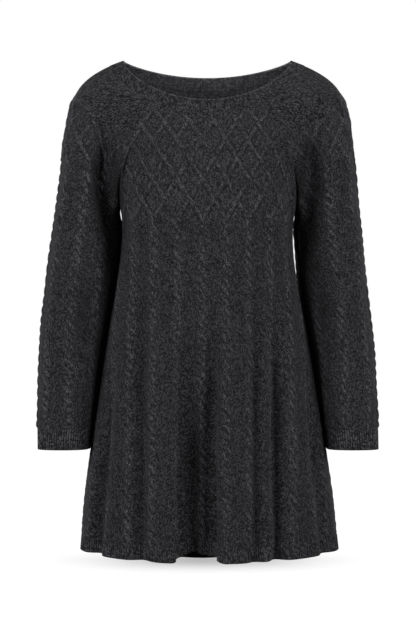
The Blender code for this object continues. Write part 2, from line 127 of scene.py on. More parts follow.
OUT_CENTRE = 0.50        # slope of the cloth where it leaves the neckline
OUT_BACK = 0.15          # the same at the centre back, where it stands nearly upright
OUT_TIP = 1.00
DOWN_CENTRE = 0.86
DOWN_TIP = 0.35
NECK_HANDLE_CENTRE = 0.33           # handles of the yoke curves
NECK_HANDLE_TIP = 0.42
RING_HANDLE_CENTRE = 0.33
RING_HANDLE_TIP = 0.65

ARMPIT_LEVEL = -0.238    # the underarm: a short straight seam where body and sleeve part
ARMPIT_X = 0.1497
ARMPIT_FRONT = -0.024
ARMPIT_BACK = 0.030
ARMPIT_EASE = 0.030
ARMPIT_FADE = 0.036

HEM_LEVEL = -0.8425
HEM_SIDE = 0.0130        # the hem is this much higher at the sides
HEM_BACK = -0.0165       # and this much lower at the centre back
HEM_BAND = 0.025
CUFF_LEVEL = -0.6595
CUFF_BAND = 0.034
SQUARE = 0.035           # how far the body rings swell between front and side
SQUARE_ARM = 0.060       # the same for the sleeve rings
ARM_CLEAR = 0.0012       # an arm hangs at least this far from the body's side
ARM_ROUND = 0.0030       # and bends round it this softly

# %% Tables of the body and the arms
Body = namedtuple("Body", "level right left front back")
BODY = [
    Body(-0.238, 0.1470, 0.1480, 0.112, 0.098),
    Body(-0.312, 0.1475, 0.1445, 0.114, 0.097),
    Body(-0.374, 0.1545, 0.1505, 0.115, 0.098),
    Body(-0.443, 0.1655, 0.1640, 0.116, 0.100),
    Body(-0.544, 0.1810, 0.1810, 0.118, 0.104),
    Body(-0.651, 0.1970, 0.1980, 0.121, 0.108),
    Body(-0.731, 0.2075, 0.2090, 0.123, 0.111),
    Body(-0.8425, 0.2165, 0.2215, 0.125, 0.114),
]
Arm = namedtuple("Arm", "level outer_right outer_left inner_right inner_left front back")
ARM = [
    Arm(-0.238, 0.2560, 0.2545, 0.1500, 0.1500, 0.052, 0.070),
    Arm(-0.262, 0.2595, 0.2570, 0.1514, 0.1497, 0.052, 0.071),
    Arm(-0.300, 0.2645, 0.2605, 0.1500, 0.1537, 0.053, 0.070),
    Arm(-0.374, 0.2740, 0.2685, 0.1590, 0.1592, 0.055, 0.067),
    Arm(-0.443, 0.2805, 0.2750, 0.1710, 0.1690, 0.058, 0.062),
    Arm(-0.510, 0.2850, 0.2815, 0.1835, 0.1830, 0.061, 0.054),
    Arm(-0.578, 0.2880, 0.2860, 0.1922, 0.1915, 0.062, 0.043),
    Arm(-0.629, 0.2880, 0.2875, 0.1985, 0.1985, 0.061, 0.034),
    Arm(-0.6595, 0.2875, 0.2880, 0.2022, 0.2018, 0.060, 0.029),
]

# %% [markdown]
# ## The folds
# The body flares, so its cloth gathers into soft upright folds that deepen towards the hem
# and lift it a little. No two are alike, so each has its own line in a table: where it lies
# at the armpits and at the hem, where it starts, and how deep and wide it is. The back has
# folds of the same kind. A sleeve is pinched where it is drawn past the body.

# %% Tables of the folds
Fold = namedtuple("Fold", "side across_top across_hem start full depth width rise")
BODY_FOLDS = [
    Fold("front", -0.015, -0.016, -0.40, -0.72, 0.042, 0.031, 0.010),
    Fold("front", -0.046, -0.043, -0.36, -0.62, 0.012, 0.016, 0.000),
    Fold("front", -0.030, -0.027, -0.38, -0.60, 0.004, 0.012, 0.006),
    Fold("front", 0.006, 0.007, -0.38, -0.60, 0.010, 0.011, 0.000),
    Fold("front", -0.107, -0.108, -0.26, -0.62, 0.015, 0.016, 0.001),
    Fold("front", 0.077, 0.078, -0.28, -0.62, 0.016, 0.013, 0.000),
    Fold("front", 0.107, 0.113, -0.38, -0.60, 0.022, 0.014, 0.001),
    Fold("front", -0.130, -0.186, -0.44, -0.66, 0.017, 0.015, 0.001),
    Fold("front", 0.132, 0.196, -0.44, -0.66, 0.014, 0.016, 0.000),
    Fold("back", -0.110, -0.128, -0.30, -0.60, 0.016, 0.016, 0.001),
    Fold("back", -0.050, -0.054, -0.38, -0.66, 0.024, 0.016, 0.003),
    Fold("back", 0.022, 0.020, -0.30, -0.62, 0.028, 0.016, 0.004),
    Fold("back", 0.084, 0.094, -0.36, -0.64, 0.018, 0.016, 0.001),
    Fold("back", 0.130, 0.158, -0.44, -0.66, 0.012, 0.014, 0.000),
]
Crease = namedtuple("Crease", "sleeve angle_top angle_end end depth top_share width")
SLEEVE_FOLDS = [
    Crease("right", 334, 326, -0.95, -0.011, 0.0, 0.024),
    Crease("left", 334, 326, -0.95, -0.010, 0.0, 0.024),
    Crease("right", 262, 268, -0.52, 0.009, 0.4, 0.018),
    Crease("left", 258, 266, -0.50, 0.010, 0.5, 0.018),
]
CREASE_GROWTH = 0.060    # a sleeve fold reaches its full depth this far below the armpit
CREASE_END = 0.4         # the last share of its length, over which it dies away
WIDE_FOLD = 0.03         # a fold at least this wide has a flat floor and steep sides
print("folds: %d round the body, %d on the sleeves" % (len(BODY_FOLDS), len(SLEEVE_FOLDS)))

# %% [markdown]
# ## The hollows beside the arms
# Between a shoulder and the chest the cloth sinks into a long hollow, which runs down past
# the underarm. Its outer side, under the sleeve's own roundness, is steeper than its inner
# one. Along the raglan beside it the cloth stands forward in a soft ridge, with a narrow one
# on top, and the back has a shallower hollow on each side. Each is a line of levels, with how
# far out it lies and how deep it is, pressed straight in. A ridge has depths below 0.

# %% Tables of the hollows
Hollow = namedtuple("Hollow", "arm side inside outside points")
SOFT_RIDGE = [
    (-0.095, 0.106, 0.000), (-0.140, 0.130, -0.006), (-0.170, 0.141, -0.010),
    (-0.190, 0.147, -0.009), (-0.220, 0.149, -0.003), (-0.240, 0.150, 0.000),
]
HOLLOWS = [
    Hollow("right", "front", 0.029, 0.010, [
        (-0.070, 0.178, 0.000), (-0.100, 0.178, 0.007), (-0.125, 0.176, 0.014), (-0.150, 0.178, 0.021),
        (-0.187, 0.187, 0.030), (-0.212, 0.184, 0.032), (-0.238, 0.180, 0.032), (-0.289, 0.173, 0.028),
        (-0.330, 0.169, 0.016), (-0.370, 0.168, 0.000)]),
    Hollow("left", "front", 0.024, 0.018, [
        (-0.070, 0.180, 0.000), (-0.100, 0.180, 0.007), (-0.125, 0.177, 0.015), (-0.161, 0.178, 0.024),
        (-0.187, 0.179, 0.028), (-0.212, 0.178, 0.030), (-0.238, 0.175, 0.030), (-0.289, 0.170, 0.027),
        (-0.330, 0.166, 0.015), (-0.370, 0.165, 0.000)]),
    Hollow("right", "front", 0.016, 0.022, SOFT_RIDGE),
    Hollow("left", "front", 0.016, 0.022, SOFT_RIDGE),
    Hollow("right", "front", 0.0035, 0.010, [
        (-0.110, 0.113, 0.000), (-0.136, 0.126, -0.004), (-0.161, 0.1364, -0.009), (-0.187, 0.144, -0.010),
        (-0.212, 0.148, -0.007), (-0.234, 0.150, 0.000)]),
    Hollow("left", "front", 0.0045, 0.009, [
        (-0.110, 0.113, 0.000), (-0.136, 0.126, -0.005), (-0.161, 0.1366, -0.010), (-0.187, 0.144, -0.005),
        (-0.212, 0.148, -0.004), (-0.234, 0.150, 0.000)]),
    Hollow("right", "back", 0.016, 0.011, [
        (-0.080, 0.170, 0.000), (-0.130, 0.177, 0.011), (-0.190, 0.184, 0.015), (-0.260, 0.186, 0.012),
        (-0.360, 0.190, 0.000)]),
    Hollow("left", "back", 0.018, 0.012, [
        (-0.085, 0.168, 0.000), (-0.130, 0.175, 0.012), (-0.185, 0.182, 0.014), (-0.270, 0.187, 0.010),
        (-0.380, 0.192, 0.000)]),
]
HOLLOW_REACH = 0.030     # a hollow dies away over this distance past the side line
print("hollows and ridges beside the arms: %d" % len(HOLLOWS))

# %% [markdown]
# ## Working out the form
# Rings and curves are first worked out as many fine points, and pressed, pinched and pulled
# while they are still whole. Then the points that a panel needs are read off them. Two panels
# that share a line read the same points there, so their seam closes exactly.

# %% Curves
RING = 1440              # steps round a ring while it is worked out
CURVE = 80               # steps down a yoke curve while it is worked out
RUN_FALL = 0.001         # fall over which a tube's direction is taken at its top
TINY = 1e-12             # a direction shorter than this is none
TURN = np.linspace(0, 2 * math.pi, RING + 1)


def read(table, column, level):
    """A column of a table at any level, on a cubic through its rows."""
    knots = np.array([row.level for row in table])
    values = np.array([getattr(row, column) for row in table])
    slopes = np.gradient(values, knots)
    level = min(max(level, knots[-1]), knots[0])
    row = min(int(np.sum(knots > level)), len(knots) - 1)
    row = max(row - 1, 0)
    span = knots[row + 1] - knots[row]
    part = (level - knots[row]) / span
    rest = 1 - part
    start = (1 + 2 * part) * rest**2 * values[row] + part * rest**2 * span * slopes[row]
    stop = part**2 * (3 - 2 * part) * values[row + 1] - part**2 * rest * span * slopes[row + 1]
    return start + stop


def ease(value):
    """0 below 0, 1 above 1, and smooth between."""
    value = np.clip(value, 0, 1)
    return value * value * (3 - 2 * value)


def unit(directions):
    """The same directions, each one long."""
    return directions / np.maximum(np.linalg.norm(directions, axis=-1, keepdims=True), TINY)


def lengths(points):
    """Distance along a line of points, from its first point."""
    steps = np.linalg.norm(np.diff(points, axis=0), axis=1)
    return np.concatenate([[0], np.cumsum(steps)])


def run_lengths(grid, axis):
    """Distances along the rows of a grid, axis 1, or down its columns, axis 0."""
    steps = np.nan_to_num(np.linalg.norm(np.diff(grid, axis=axis), axis=2))
    start = np.zeros_like(steps.take([0], axis))
    return np.concatenate([start, np.cumsum(steps, axis)], axis)


def pick(points, distance, where):
    """Points at given distances along a measured line."""
    return np.stack([np.interp(where, distance, points[:, axis]) for axis in range(3)], axis=-1)


# %% Rings of the form
def press(ring, angle, depth, width):
    """Press a soft trough into a ring, and return how much of it each point takes."""
    run = np.gradient(ring[:, :2], axis=0)
    out = np.stack([run[:, 1], -run[:, 0]], axis=1) / np.linalg.norm(run, axis=1, keepdims=True)
    distance = lengths(ring)
    power = 4 if width >= WIDE_FOLD else 2
    take = np.exp(-(((distance - np.interp(angle, TURN, distance)) / width) ** power))
    ring[:, :2] -= (depth * take)[:, None] * out
    return take


def pull_to_armpit(ring, target, level, inner=True):
    """Draw the points beside the underarm seam to its straight line."""
    beyond = np.maximum(np.maximum(ARMPIT_FRONT - ring[:, 1], ring[:, 1] - ARMPIT_BACK), 0)
    pull = (1 - ease(beyond / ARMPIT_EASE)) * (1 - ease((ARMPIT_LEVEL - level) / ARMPIT_FADE))
    ring[:, 0] += pull * inner * (target - ring[:, 0])


def body_ring(fall):
    """The body at a fall from 0, the armpits, to 1, the hem. It starts at the centre back."""
    level = ARMPIT_LEVEL + (HEM_LEVEL - ARMPIT_LEVEL) * fall
    turn = TURN - math.pi
    width = np.where(np.sin(turn) > 0, read(BODY, "left", level), read(BODY, "right", level))
    depth = np.where(np.cos(turn) > 0, read(BODY, "front", level), read(BODY, "back", level))
    swell = 1 + SQUARE * np.sin(2 * turn) ** 2
    ring = np.stack([width * np.sin(turn) * swell, -depth * np.cos(turn) * swell, 0 * turn], axis=1)
    pull_to_armpit(ring, np.sign(np.sin(turn)) * ARMPIT_X, level)
    even = lengths(ring)

    hem = HEM_LEVEL + HEM_SIDE * np.sin(turn) ** 2
    hem = hem + np.where(np.cos(turn) < 0, HEM_BACK * np.cos(turn) ** 2, 0)
    for fold in BODY_FOLDS:
        if level >= fold.start:
            continue
        across = fold.across_top + (fold.across_hem - fold.across_top) * fall
        angle = math.asin(across / read(BODY, "left" if across > 0 else "right", level))
        if fold.side == "back":
            angle = math.copysign(math.pi, across) - angle
        grown = ease((fold.start - level) / (fold.start - fold.full))
        hem = hem + fold.rise * press(ring, angle + math.pi, fold.depth * grown, fold.width)
    ring[:, 2] = ARMPIT_LEVEL + (hem - ARMPIT_LEVEL) * fall
    return ring, even


def lean_on_body(ring, side, level):
    """Keep an arm just clear of the body it hangs against."""
    outline = body_ring((ARMPIT_LEVEL - level) / (ARMPIT_LEVEL - HEM_LEVEL - HEM_SIDE))[0]
    outline = outline[(outline[:, 0] > 0) == (side == "left")]
    outline = outline[np.argsort(outline[:, 1])]
    room = ring[:, 0] - np.interp(ring[:, 1], outline[:, 1], abs(outline[:, 0])) - ARM_CLEAR
    pushed = (np.sqrt(room**2 + ARM_ROUND**2) - room) / 2
    ring[:, 0] += pushed * ease((ARMPIT_LEVEL - level) / ARMPIT_FADE)


def sleeve_ring(side, fall):
    """A left arm at a fall from 0, the armpit, to 1, the cuff. It starts at the inner line."""
    level = ARMPIT_LEVEL + (CUFF_LEVEL - ARMPIT_LEVEL) * fall
    outer, inner = read(ARM, "outer_" + side, level), read(ARM, "inner_" + side, level)
    front, back = read(ARM, "front", level), read(ARM, "back", level)
    swell = 1 + SQUARE_ARM * np.sin(2 * TURN) ** 2
    x = (outer + inner) / 2 - (outer - inner) / 2 * np.cos(TURN) * swell
    y = (back - front) / 2 - (back + front) / 2 * np.sin(TURN) * swell
    ring = np.stack([x, y, 0 * TURN + level], axis=1)
    even = lengths(ring)
    for fold in SLEEVE_FOLDS:
        if fold.sleeve == side and level > fold.end:
            part = (ARMPIT_LEVEL - level) / (ARMPIT_LEVEL - fold.end)
            angle = math.radians(fold.angle_top + (fold.angle_end - fold.angle_top) * part)
            grown = ease((ARMPIT_LEVEL - level) / CREASE_GROWTH)
            grown = fold.top_share + (1 - fold.top_share) * grown
            press(ring, angle, fold.depth * grown * ease((1 - part) / CREASE_END), fold.width)
    lean_on_body(ring, side, level)
    pull_to_armpit(ring, ARMPIT_X, level, np.cos(TURN) > 0)
    return ring, even


def sink(points, arm=None):
    """Press the hollows into points of the body, or of one arm worked out as a left one."""
    across, forward, level = np.moveaxis(points, -1, 0)
    pressed = np.zeros_like(forward)
    for hollow in HOLLOWS:
        on_left = hollow.arm == "left"
        mine = (across > 0) == on_left if arm is None else arm == hollow.arm
        facing = 1 if hollow.side == "front" else -1
        falls, lines, depths = np.array(hollow.points).T
        offset = abs(across) - np.interp(-level, -falls, lines)
        width = np.where(offset < 0, hollow.inside, hollow.outside)
        depth = np.interp(-level, -falls, depths, left=0, right=0)
        reach = ease((HOLLOW_REACH - facing * forward) / HOLLOW_REACH)
        pressed = pressed + mine * facing * depth * reach * np.exp(-((offset / width) ** 2))
    return points + pressed[..., None] * np.array([0, 1.0, 0])


print("round the body: %.3f m at the armpits, %.3f m at the hem" % tuple(
    lengths(body_ring(fall)[0])[-1] for fall in (0.0, 1.0)))


# %% A tube of rings
class Tube:
    """A tube of the form. Its share is a whole number at each of its bounding lines."""

    def __init__(self, ring, sides):
        self.ring = ring
        self.sides = sides
        self.kept = {}

    def at(self, fall):
        """The ring at a fall, its lengths, and its lengths before it was folded."""
        if fall not in self.kept:
            ring, even = self.ring(fall)
            self.kept[fall] = ring, lengths(ring), even
        return self.kept[fall]

    def place(self, fall, share):
        """Points at a fall down the tube and at shares round it."""
        ring, distance, _ = self.at(fall)
        bounds = distance[:: RING // self.sides]
        where = np.interp(np.mod(share, self.sides), range(self.sides + 1), bounds)
        return pick(ring, distance, where)

    def knitted(self, fall, share):
        """How far round the tube those points lie before it is folded, from share 0."""
        _, distance, even = self.at(fall)
        bounds = distance[:: RING // self.sides]
        turns = np.floor_divide(share, self.sides)
        where = np.interp(share - turns * self.sides, range(self.sides + 1), bounds)
        return np.interp(where, distance, even) + turns * even[-1]

    def run(self, share):
        """Directions down the tube where it starts."""
        return unit(self.place(RUN_FALL, share) - self.place(0.0, share))

    def share_at(self, depth, start, stop):
        """The share, between two, where the first ring passes a depth in Y."""
        shares = np.linspace(start, stop, RING)
        found = self.place(0.0, shares)[:, 1]
        order = np.argsort(found)
        return float(np.interp(depth, found[order], shares[order]))


# %% Curves of the yoke
def yoke_curves(angle, end, run, shift):
    """Curves from the neckline, at angles from the centre front, to points of a ring."""
    tip = np.sin(angle) ** 2
    facing = np.cos(angle)
    reach = np.where(facing > 0, NECK_FRONT, NECK_BACK)
    dip = abs(facing)
    drop = np.where(facing > 0, DROP_FRONT * dip**DIP_FRONT, DROP_BACK * dip**DIP_BACK)
    x, y = shift + NECK_HALF * np.sin(angle), NECK_TIP_Y - reach * facing
    start = np.stack([x, y, -drop], axis=1)
    out = np.where(facing > 0, OUT_CENTRE, OUT_BACK)
    out = out + (OUT_TIP - out) * tip
    down = DOWN_CENTRE + (DOWN_TIP - DOWN_CENTRE) * tip
    leave = np.stack([out * np.sin(angle), -out * facing, -down], axis=1)
    way = np.linalg.norm(end - start, axis=1)
    near_handle = NECK_HANDLE_CENTRE + (NECK_HANDLE_TIP - NECK_HANDLE_CENTRE) * tip
    far_handle = RING_HANDLE_CENTRE + (RING_HANDLE_TIP - RING_HANDLE_CENTRE) * tip
    near = start + leave * (way * near_handle)[:, None]
    far = end - run * (way * far_handle)[:, None]
    step = np.linspace(0, 1, CURVE + 1)[:, None, None]
    rest = 1 - step
    return rest**3 * start + 3 * rest**2 * step * near + 3 * rest * step**2 * far + step**3 * end


# %% [markdown]
# ## The panels
# Front, back and sleeves are each one grid of rows and columns on the form. A grid is the
# natural mesh for knitting, because its rows and columns run as the knitted ones do. Each
# point also keeps two knitting measures: how far across the panel it lies, and how far below
# the armpit, both along the cloth. The cables are drawn in those measures. Round the body,
# share 0 is the centre back, 1 the right side, 2 the centre front and 3 the left side. Round
# a sleeve, 0 is the line that faces the body, and 1 the outer one.

# %% How finely the panels are cut
LINING = 4               # the inner face has one column or row for this many outer ones
HALF_COLUMNS = 124       # from the centre of a body panel to its raglan
GUSSET_COLUMNS = 8       # from the raglan's end to the side seam
SLEEVE_COLUMNS = 88
SLEEVE_GUSSET = 8
YOKE_ROWS = 80
BODY_ROWS = 260
SLEEVE_YOKE_ROWS = 104
SLEEVE_ROWS = 188


class Panel:
    """The columns of one panel: its shares round the tube, and their neckline angles."""

    def __init__(self, tube, low, high, middle, neck, columns, gusset, shift, arm=None):
        self.tube = tube
        self.arm = arm
        self.shift = shift
        self.middle = middle
        self.yoke = np.linspace(low, high, 2 * columns + 1)
        self.angle = np.interp(self.yoke, [low, middle, high], neck)
        start, stop, count = gusset
        self.before = np.linspace(start, low, count + 1)[:-1]
        self.after = np.linspace(high, stop, count + 1)[1:]
        self.shares = np.concatenate([self.before, self.yoke, self.after])

    def curves(self):
        """The yoke curves of the panel, each with the distances along it."""
        end = self.tube.place(0.0, self.yoke)
        inside = np.minimum(self.yoke - self.yoke[0], self.yoke[-1] - self.yoke)
        free = ease(inside / (RAGLAN_EASE * (self.yoke[-1] - self.yoke[0])))[:, None]
        run = self.tube.run(self.yoke) * free + np.array([0, 0, -1.0]) * (1 - free)
        curves = yoke_curves(self.angle, end, run, self.shift)
        return [(curves[:, column], lengths(curves[:, column])) for column in range(len(self.yoke))]

    def yoke_rows(self, count):
        """Rows above the arms, with how far below the armpit ring each point lies."""
        rows = np.full((count, len(self.shares), 3), np.nan)
        below = np.zeros((count, len(self.shares)))
        for column, (curve, distance) in enumerate(self.curves()):
            where = NECKBAND + (distance[-1] - NECKBAND) * np.arange(count) / count
            rows[:, len(self.before) + column] = pick(curve, distance, where)
            below[:, len(self.before) + column] = where - distance[-1]
        return sink(rows, self.arm), below

    def yoke_across(self, rows):
        """How far across its row each point of the yoke lies, from the middle column."""
        across = run_lengths(rows, 1)
        centre = len(self.before) + int(np.argmin(abs(self.yoke - self.middle)))
        return across - across[:, centre : centre + 1]

    def band_rows(self, falls):
        """Rows of the neckband over this panel, at falls from 0, its edge, to 1, its seam."""
        where = NECKBAND * np.asarray(falls)
        return np.stack([pick(curve, distance, where) for curve, distance in self.curves()], axis=1)

    def tube_rows(self, falls):
        """Rows below the arms."""
        return sink(np.stack([self.tube.place(fall, self.shares) for fall in falls]), self.arm)

    def tube_across(self, falls):
        """How far across its row each point below the arms lies, from the middle column."""
        middle = np.array([self.tube.knitted(fall, self.middle) for fall in falls])
        return np.stack([self.tube.knitted(fall, self.shares) for fall in falls]) - middle[:, None]


# %% Cut the panels
def cut_panels():
    """Front, back and sleeves, each with its shares, its neckline angles and its columns."""
    body = Tube(body_ring, 4)
    panels = {}
    front = (body.share_at(ARMPIT_FRONT, 1.0, 1.5), body.share_at(ARMPIT_FRONT, 2.5, 3.0))
    back = (body.share_at(ARMPIT_BACK, 3.0, 3.5), body.share_at(ARMPIT_BACK, 0.5, 1.0) + 4)
    turn = math.pi
    panels["front"] = Panel(body, *front, 2.0, (-RAGLAN_FRONT, 0, RAGLAN_FRONT),
                            HALF_COLUMNS, (1.0, 3.0, GUSSET_COLUMNS), NECK_SHIFT)
    panels["back"] = Panel(body, *back, 4.0, (RAGLAN_BACK, turn, 2 * turn - RAGLAN_BACK),
                           HALF_COLUMNS, (3.0, 5.0, GUSSET_COLUMNS), NECK_SHIFT)
    for side, shift in (("left", NECK_SHIFT), ("right", -NECK_SHIFT)):
        tube = Tube(lambda fall, side=side: sleeve_ring(side, fall), 2)
        ends = tube.share_at(ARMPIT_FRONT, 0.0, 0.5), tube.share_at(ARMPIT_BACK, 1.5, 2.0)
        inner = (ends[0] + ends[1] - 2) / 2
        panels["sleeve_" + side] = Panel(
            tube, *ends, 1.0, (RAGLAN_FRONT, turn / 2, RAGLAN_BACK),
            SLEEVE_COLUMNS, (inner, inner + 2, SLEEVE_GUSSET), shift, side)
    return panels


panels = cut_panels()
print("panels:", ", ".join(panels))

# %% [markdown]
# ## The cable pattern
# Over the yoke the strands travel slantwise and cross, which makes a lattice of diamonds.
# Lower down, and from higher up on the sleeves, each pair of strands meets and keeps twisting
# round itself, as a rope, all the way to the hem or cuff. One function gives the height of
# this pattern anywhere on the cloth. A strand is a rounded ridge, and the taller of two
# strands is the one that shows. It also gives the yarn a tone with painted light and shade:
# rope columns and the tops of strands are painted lighter, and furrows are painted dark.

# %% Measures of the cables
CABLE_PITCH = 0.0430     # from one cable to the next
CROSSING = 0.0340        # height of one crossing of the lattice
LATTICE_HALF = 0.0040    # half the width of a lattice strand
LATTICE_HEIGHT = 0.0026
OVER = 0.0009            # how much higher the strand on top is at a crossing
OVER_REACH = 2.0         # and how far from it that starts, in half strands
UNDER = 0.0016           # how much lower the one beneath is
UNDER_REACH = 2.5
ROPE_TWIST = 0.0175      # height of one twist of a rope
ROPE_SWING = 0.0052      # how far a strand swings from the middle of its rope
ROPE_HALF = 0.0042       # half the width of a rope's strand
ROPE_REACH = 0.68        # a strand shows over this share of a twist, up and down
STRAND_HEIGHT = 0.0034
ROUNDING = 0.7           # the power that rounds a strand
SWAP = 0.004             # over this height lattice turns into ropes

UNEVEN = 0.25            # the twists of a rope come early or late by up to this share
UNEVEN_RUN = 0.033       # over this length of rope
STAGGER = 0.37           # a rope's twists start this share of a twist after its neighbour's
STRAY = 0.0008           # a strand lies off its line by up to this
LOWER = 0.22             # and is lower than the tallest by up to this share
CABLE_STEPS = (2.1, 3.7)     # odd steps, so that no two cables
STRAND_STEPS = (5.1, 7.3)    # and no two strands are alike

# %% How light the cables look, with their painted light and shade
GROUND_TONE = 0.605      # how light the purl ground is
COLUMN_PAINTED_LIGHT = 0.20       # painted light: the column in which a rope lies adds this, as the purl ground beside it is in shade
COLUMN_HALF = 0.0090     # half the width of that column
LATTICE_LIGHT = 0.85     # the lattice adds this share of it
STRAND_PAINTED_LIGHT = 0.52       # the top of a strand adds this: a painted highlight
FURROW_PAINTED_SHADE = 0.16            # the furrows between the strands of a rope take this away: painted shade
LATTICE_PAINTED_SHADE = 0.25    # and those beside a strand of the lattice take this: painted shade
BESIDE = 1.2             # where those lie, and half their width, in half strands
BESIDE_HALF = 0.5
PLAIN_TONE = 0.72        # how light a plain place is


def ridge(offset, half):
    """A rounded ridge, 1 on its middle line and 0 at its edges."""
    return np.clip(1 - (offset / half) ** 2, 0, 1) ** ROUNDING


def beside_strand(offset):
    """1 along both edges of a lattice strand, where it sinks into the ground."""
    return np.exp(-(((abs(offset) / LATTICE_HALF - BESIDE) / BESIDE_HALF) ** 2))


def low(height, tallest):
    """1 on the ground, falling to 0 halfway up a strand."""
    return 1 - np.clip(2 * height / tallest, 0, 1)


def rope(near, cable, down):
    """Height of a rope beside its middle line: a slanting strand for every twist."""
    twist = down / ROPE_TWIST + UNEVEN * np.sin(down / UNEVEN_RUN + CABLE_STEPS[0] * cable)
    twist = twist + STAGGER * cable
    height = np.zeros_like(near)
    for step in (-1, 0, 1):
        strand = np.round(twist) + step
        part = twist - strand
        stray = STRAY * np.sin(STRAND_STEPS[0] * strand + cable)
        bulge = np.clip(np.cos(math.pi / 2 * part / ROPE_REACH), 0, 1) * (abs(part) < ROPE_REACH)
        lower = LOWER * (0.5 + 0.5 * np.sin(STRAND_STEPS[1] * strand + CABLE_STEPS[1] * cable))
        tall = STRAND_HEIGHT * bulge**ROUNDING * (1 - lower)
        height = np.maximum(height, tall * ridge(near - 2 * ROPE_SWING * part - stray, ROPE_HALF))
    return height


def cables(across, below, ropes_from):
    """Height of the cables, and the yarn's tone, with painted light and shade."""
    cable = np.round(across / CABLE_PITCH)
    near = across - CABLE_PITCH * cable
    down = below - ropes_from

    slope = CABLE_PITCH / 2 / CROSSING
    narrow = math.cos(math.atan(slope))
    right, left = across - slope * down, across + slope * down
    right = (right - CABLE_PITCH * np.round(right / CABLE_PITCH)) * narrow
    left = (left - CABLE_PITCH * np.round(left / CABLE_PITCH)) * narrow
    rise = OVER * ridge(left, OVER_REACH * LATTICE_HALF)
    dip = UNDER * ridge(right, UNDER_REACH * LATTICE_HALF)
    lattice = np.maximum(
        ridge(right, LATTICE_HALF) * (LATTICE_HEIGHT + rise),
        ridge(left, LATTICE_HALF) * (LATTICE_HEIGHT - dip),
    )

    roped = ease((down + SWAP / 2) / SWAP)
    height = lattice + (rope(near, cable, down) - lattice) * roped
    column = np.exp(-((near / COLUMN_HALF) ** 4)) * roped + LATTICE_LIGHT * (1 - roped)
    # Painted light on the rope columns and strand tops, painted shade in the furrows.
    tone = GROUND_TONE + COLUMN_PAINTED_LIGHT * column + STRAND_PAINTED_LIGHT * height / STRAND_HEIGHT
    furrow = np.exp(-((near / ROPE_SWING) ** 2)) * low(height, STRAND_HEIGHT)
    beside = np.maximum(beside_strand(right), beside_strand(left)) * low(lattice, LATTICE_HEIGHT)
    return height, tone - FURROW_PAINTED_SHADE * furrow * roped - LATTICE_PAINTED_SHADE * beside * (1 - roped)


print("a rope is %.0f mm wide, and twists every %.1f mm" % (
    2000 * (ROPE_SWING + ROPE_HALF), 1000 * ROPE_TWIST))

# %% [markdown]
# ## Where the pattern is strong and where it rests
# The shoulder tops beside the neckline are plain, and the pattern dies away at every seam.
# It is also pressed flat where a sleeve hangs close against the body.

# %% Calm places
RAGLAN_CALM = 0.016      # the pattern dies away over this distance from a raglan or side seam
SEAM_CALM = 0.006        # and over this from a band
PLAIN_TOP = 0.075        # the plain shoulder top reaches this far down the sleeve
PLAIN_FADE = 0.020
YOKE_CALM = 0.022        # under the front and back neckband the pattern grows over this
PRESSED = 0.3            # share of the pattern that stays where sleeve and body lie close
Grow = namedtuple("Grow", "start over")
BODY_CLOSE = Grow(0.80, 0.12)    # where that starts round a body panel, from its middle,
ARM_CLOSE = Grow(0.62, 0.15)     # and round a sleeve
CUFFS_END = Grow(-0.62, 0.06)    # below this level there is no sleeve beside the body
FREE = 0.4               # and it is pressed this much less


def edge_distance(rows, closed):
    """How far each point lies from its panel's sides, top and foot, along the cloth."""
    across, head = run_lengths(rows, 1), run_lengths(rows, 0)
    gone = np.isnan(rows[..., 0])
    side = np.full(gone.shape, np.inf)
    for row, bare in enumerate(gone):
        here = np.flatnonzero(~bare)
        if not closed or bare.any():
            start, stop = across[row, here[0]], across[row, here[-1]]
            side[row] = np.minimum(across[row] - start, stop - across[row])
    return side, head, head[-1] - head


def grown(panel, head):
    """How far the pattern has grown below the neckband, from 0 to 1."""
    return ease((head - PLAIN_TOP) / PLAIN_FADE) if panel.arm else ease(head / YOKE_CALM)


def closeness(panel, count, level):
    """How close body and sleeve lie, from 0 to 1. They part above the first count of rows."""
    close = np.zeros_like(level)
    start, over = ARM_CLOSE if panel.arm else BODY_CLOSE
    close[count:] = ease((abs(panel.shares - panel.middle) - start) / over)
    if not panel.arm:
        close[count:] *= 1 - FREE * ease((CUFFS_END.start - level[count:]) / CUFFS_END.over)
    return close
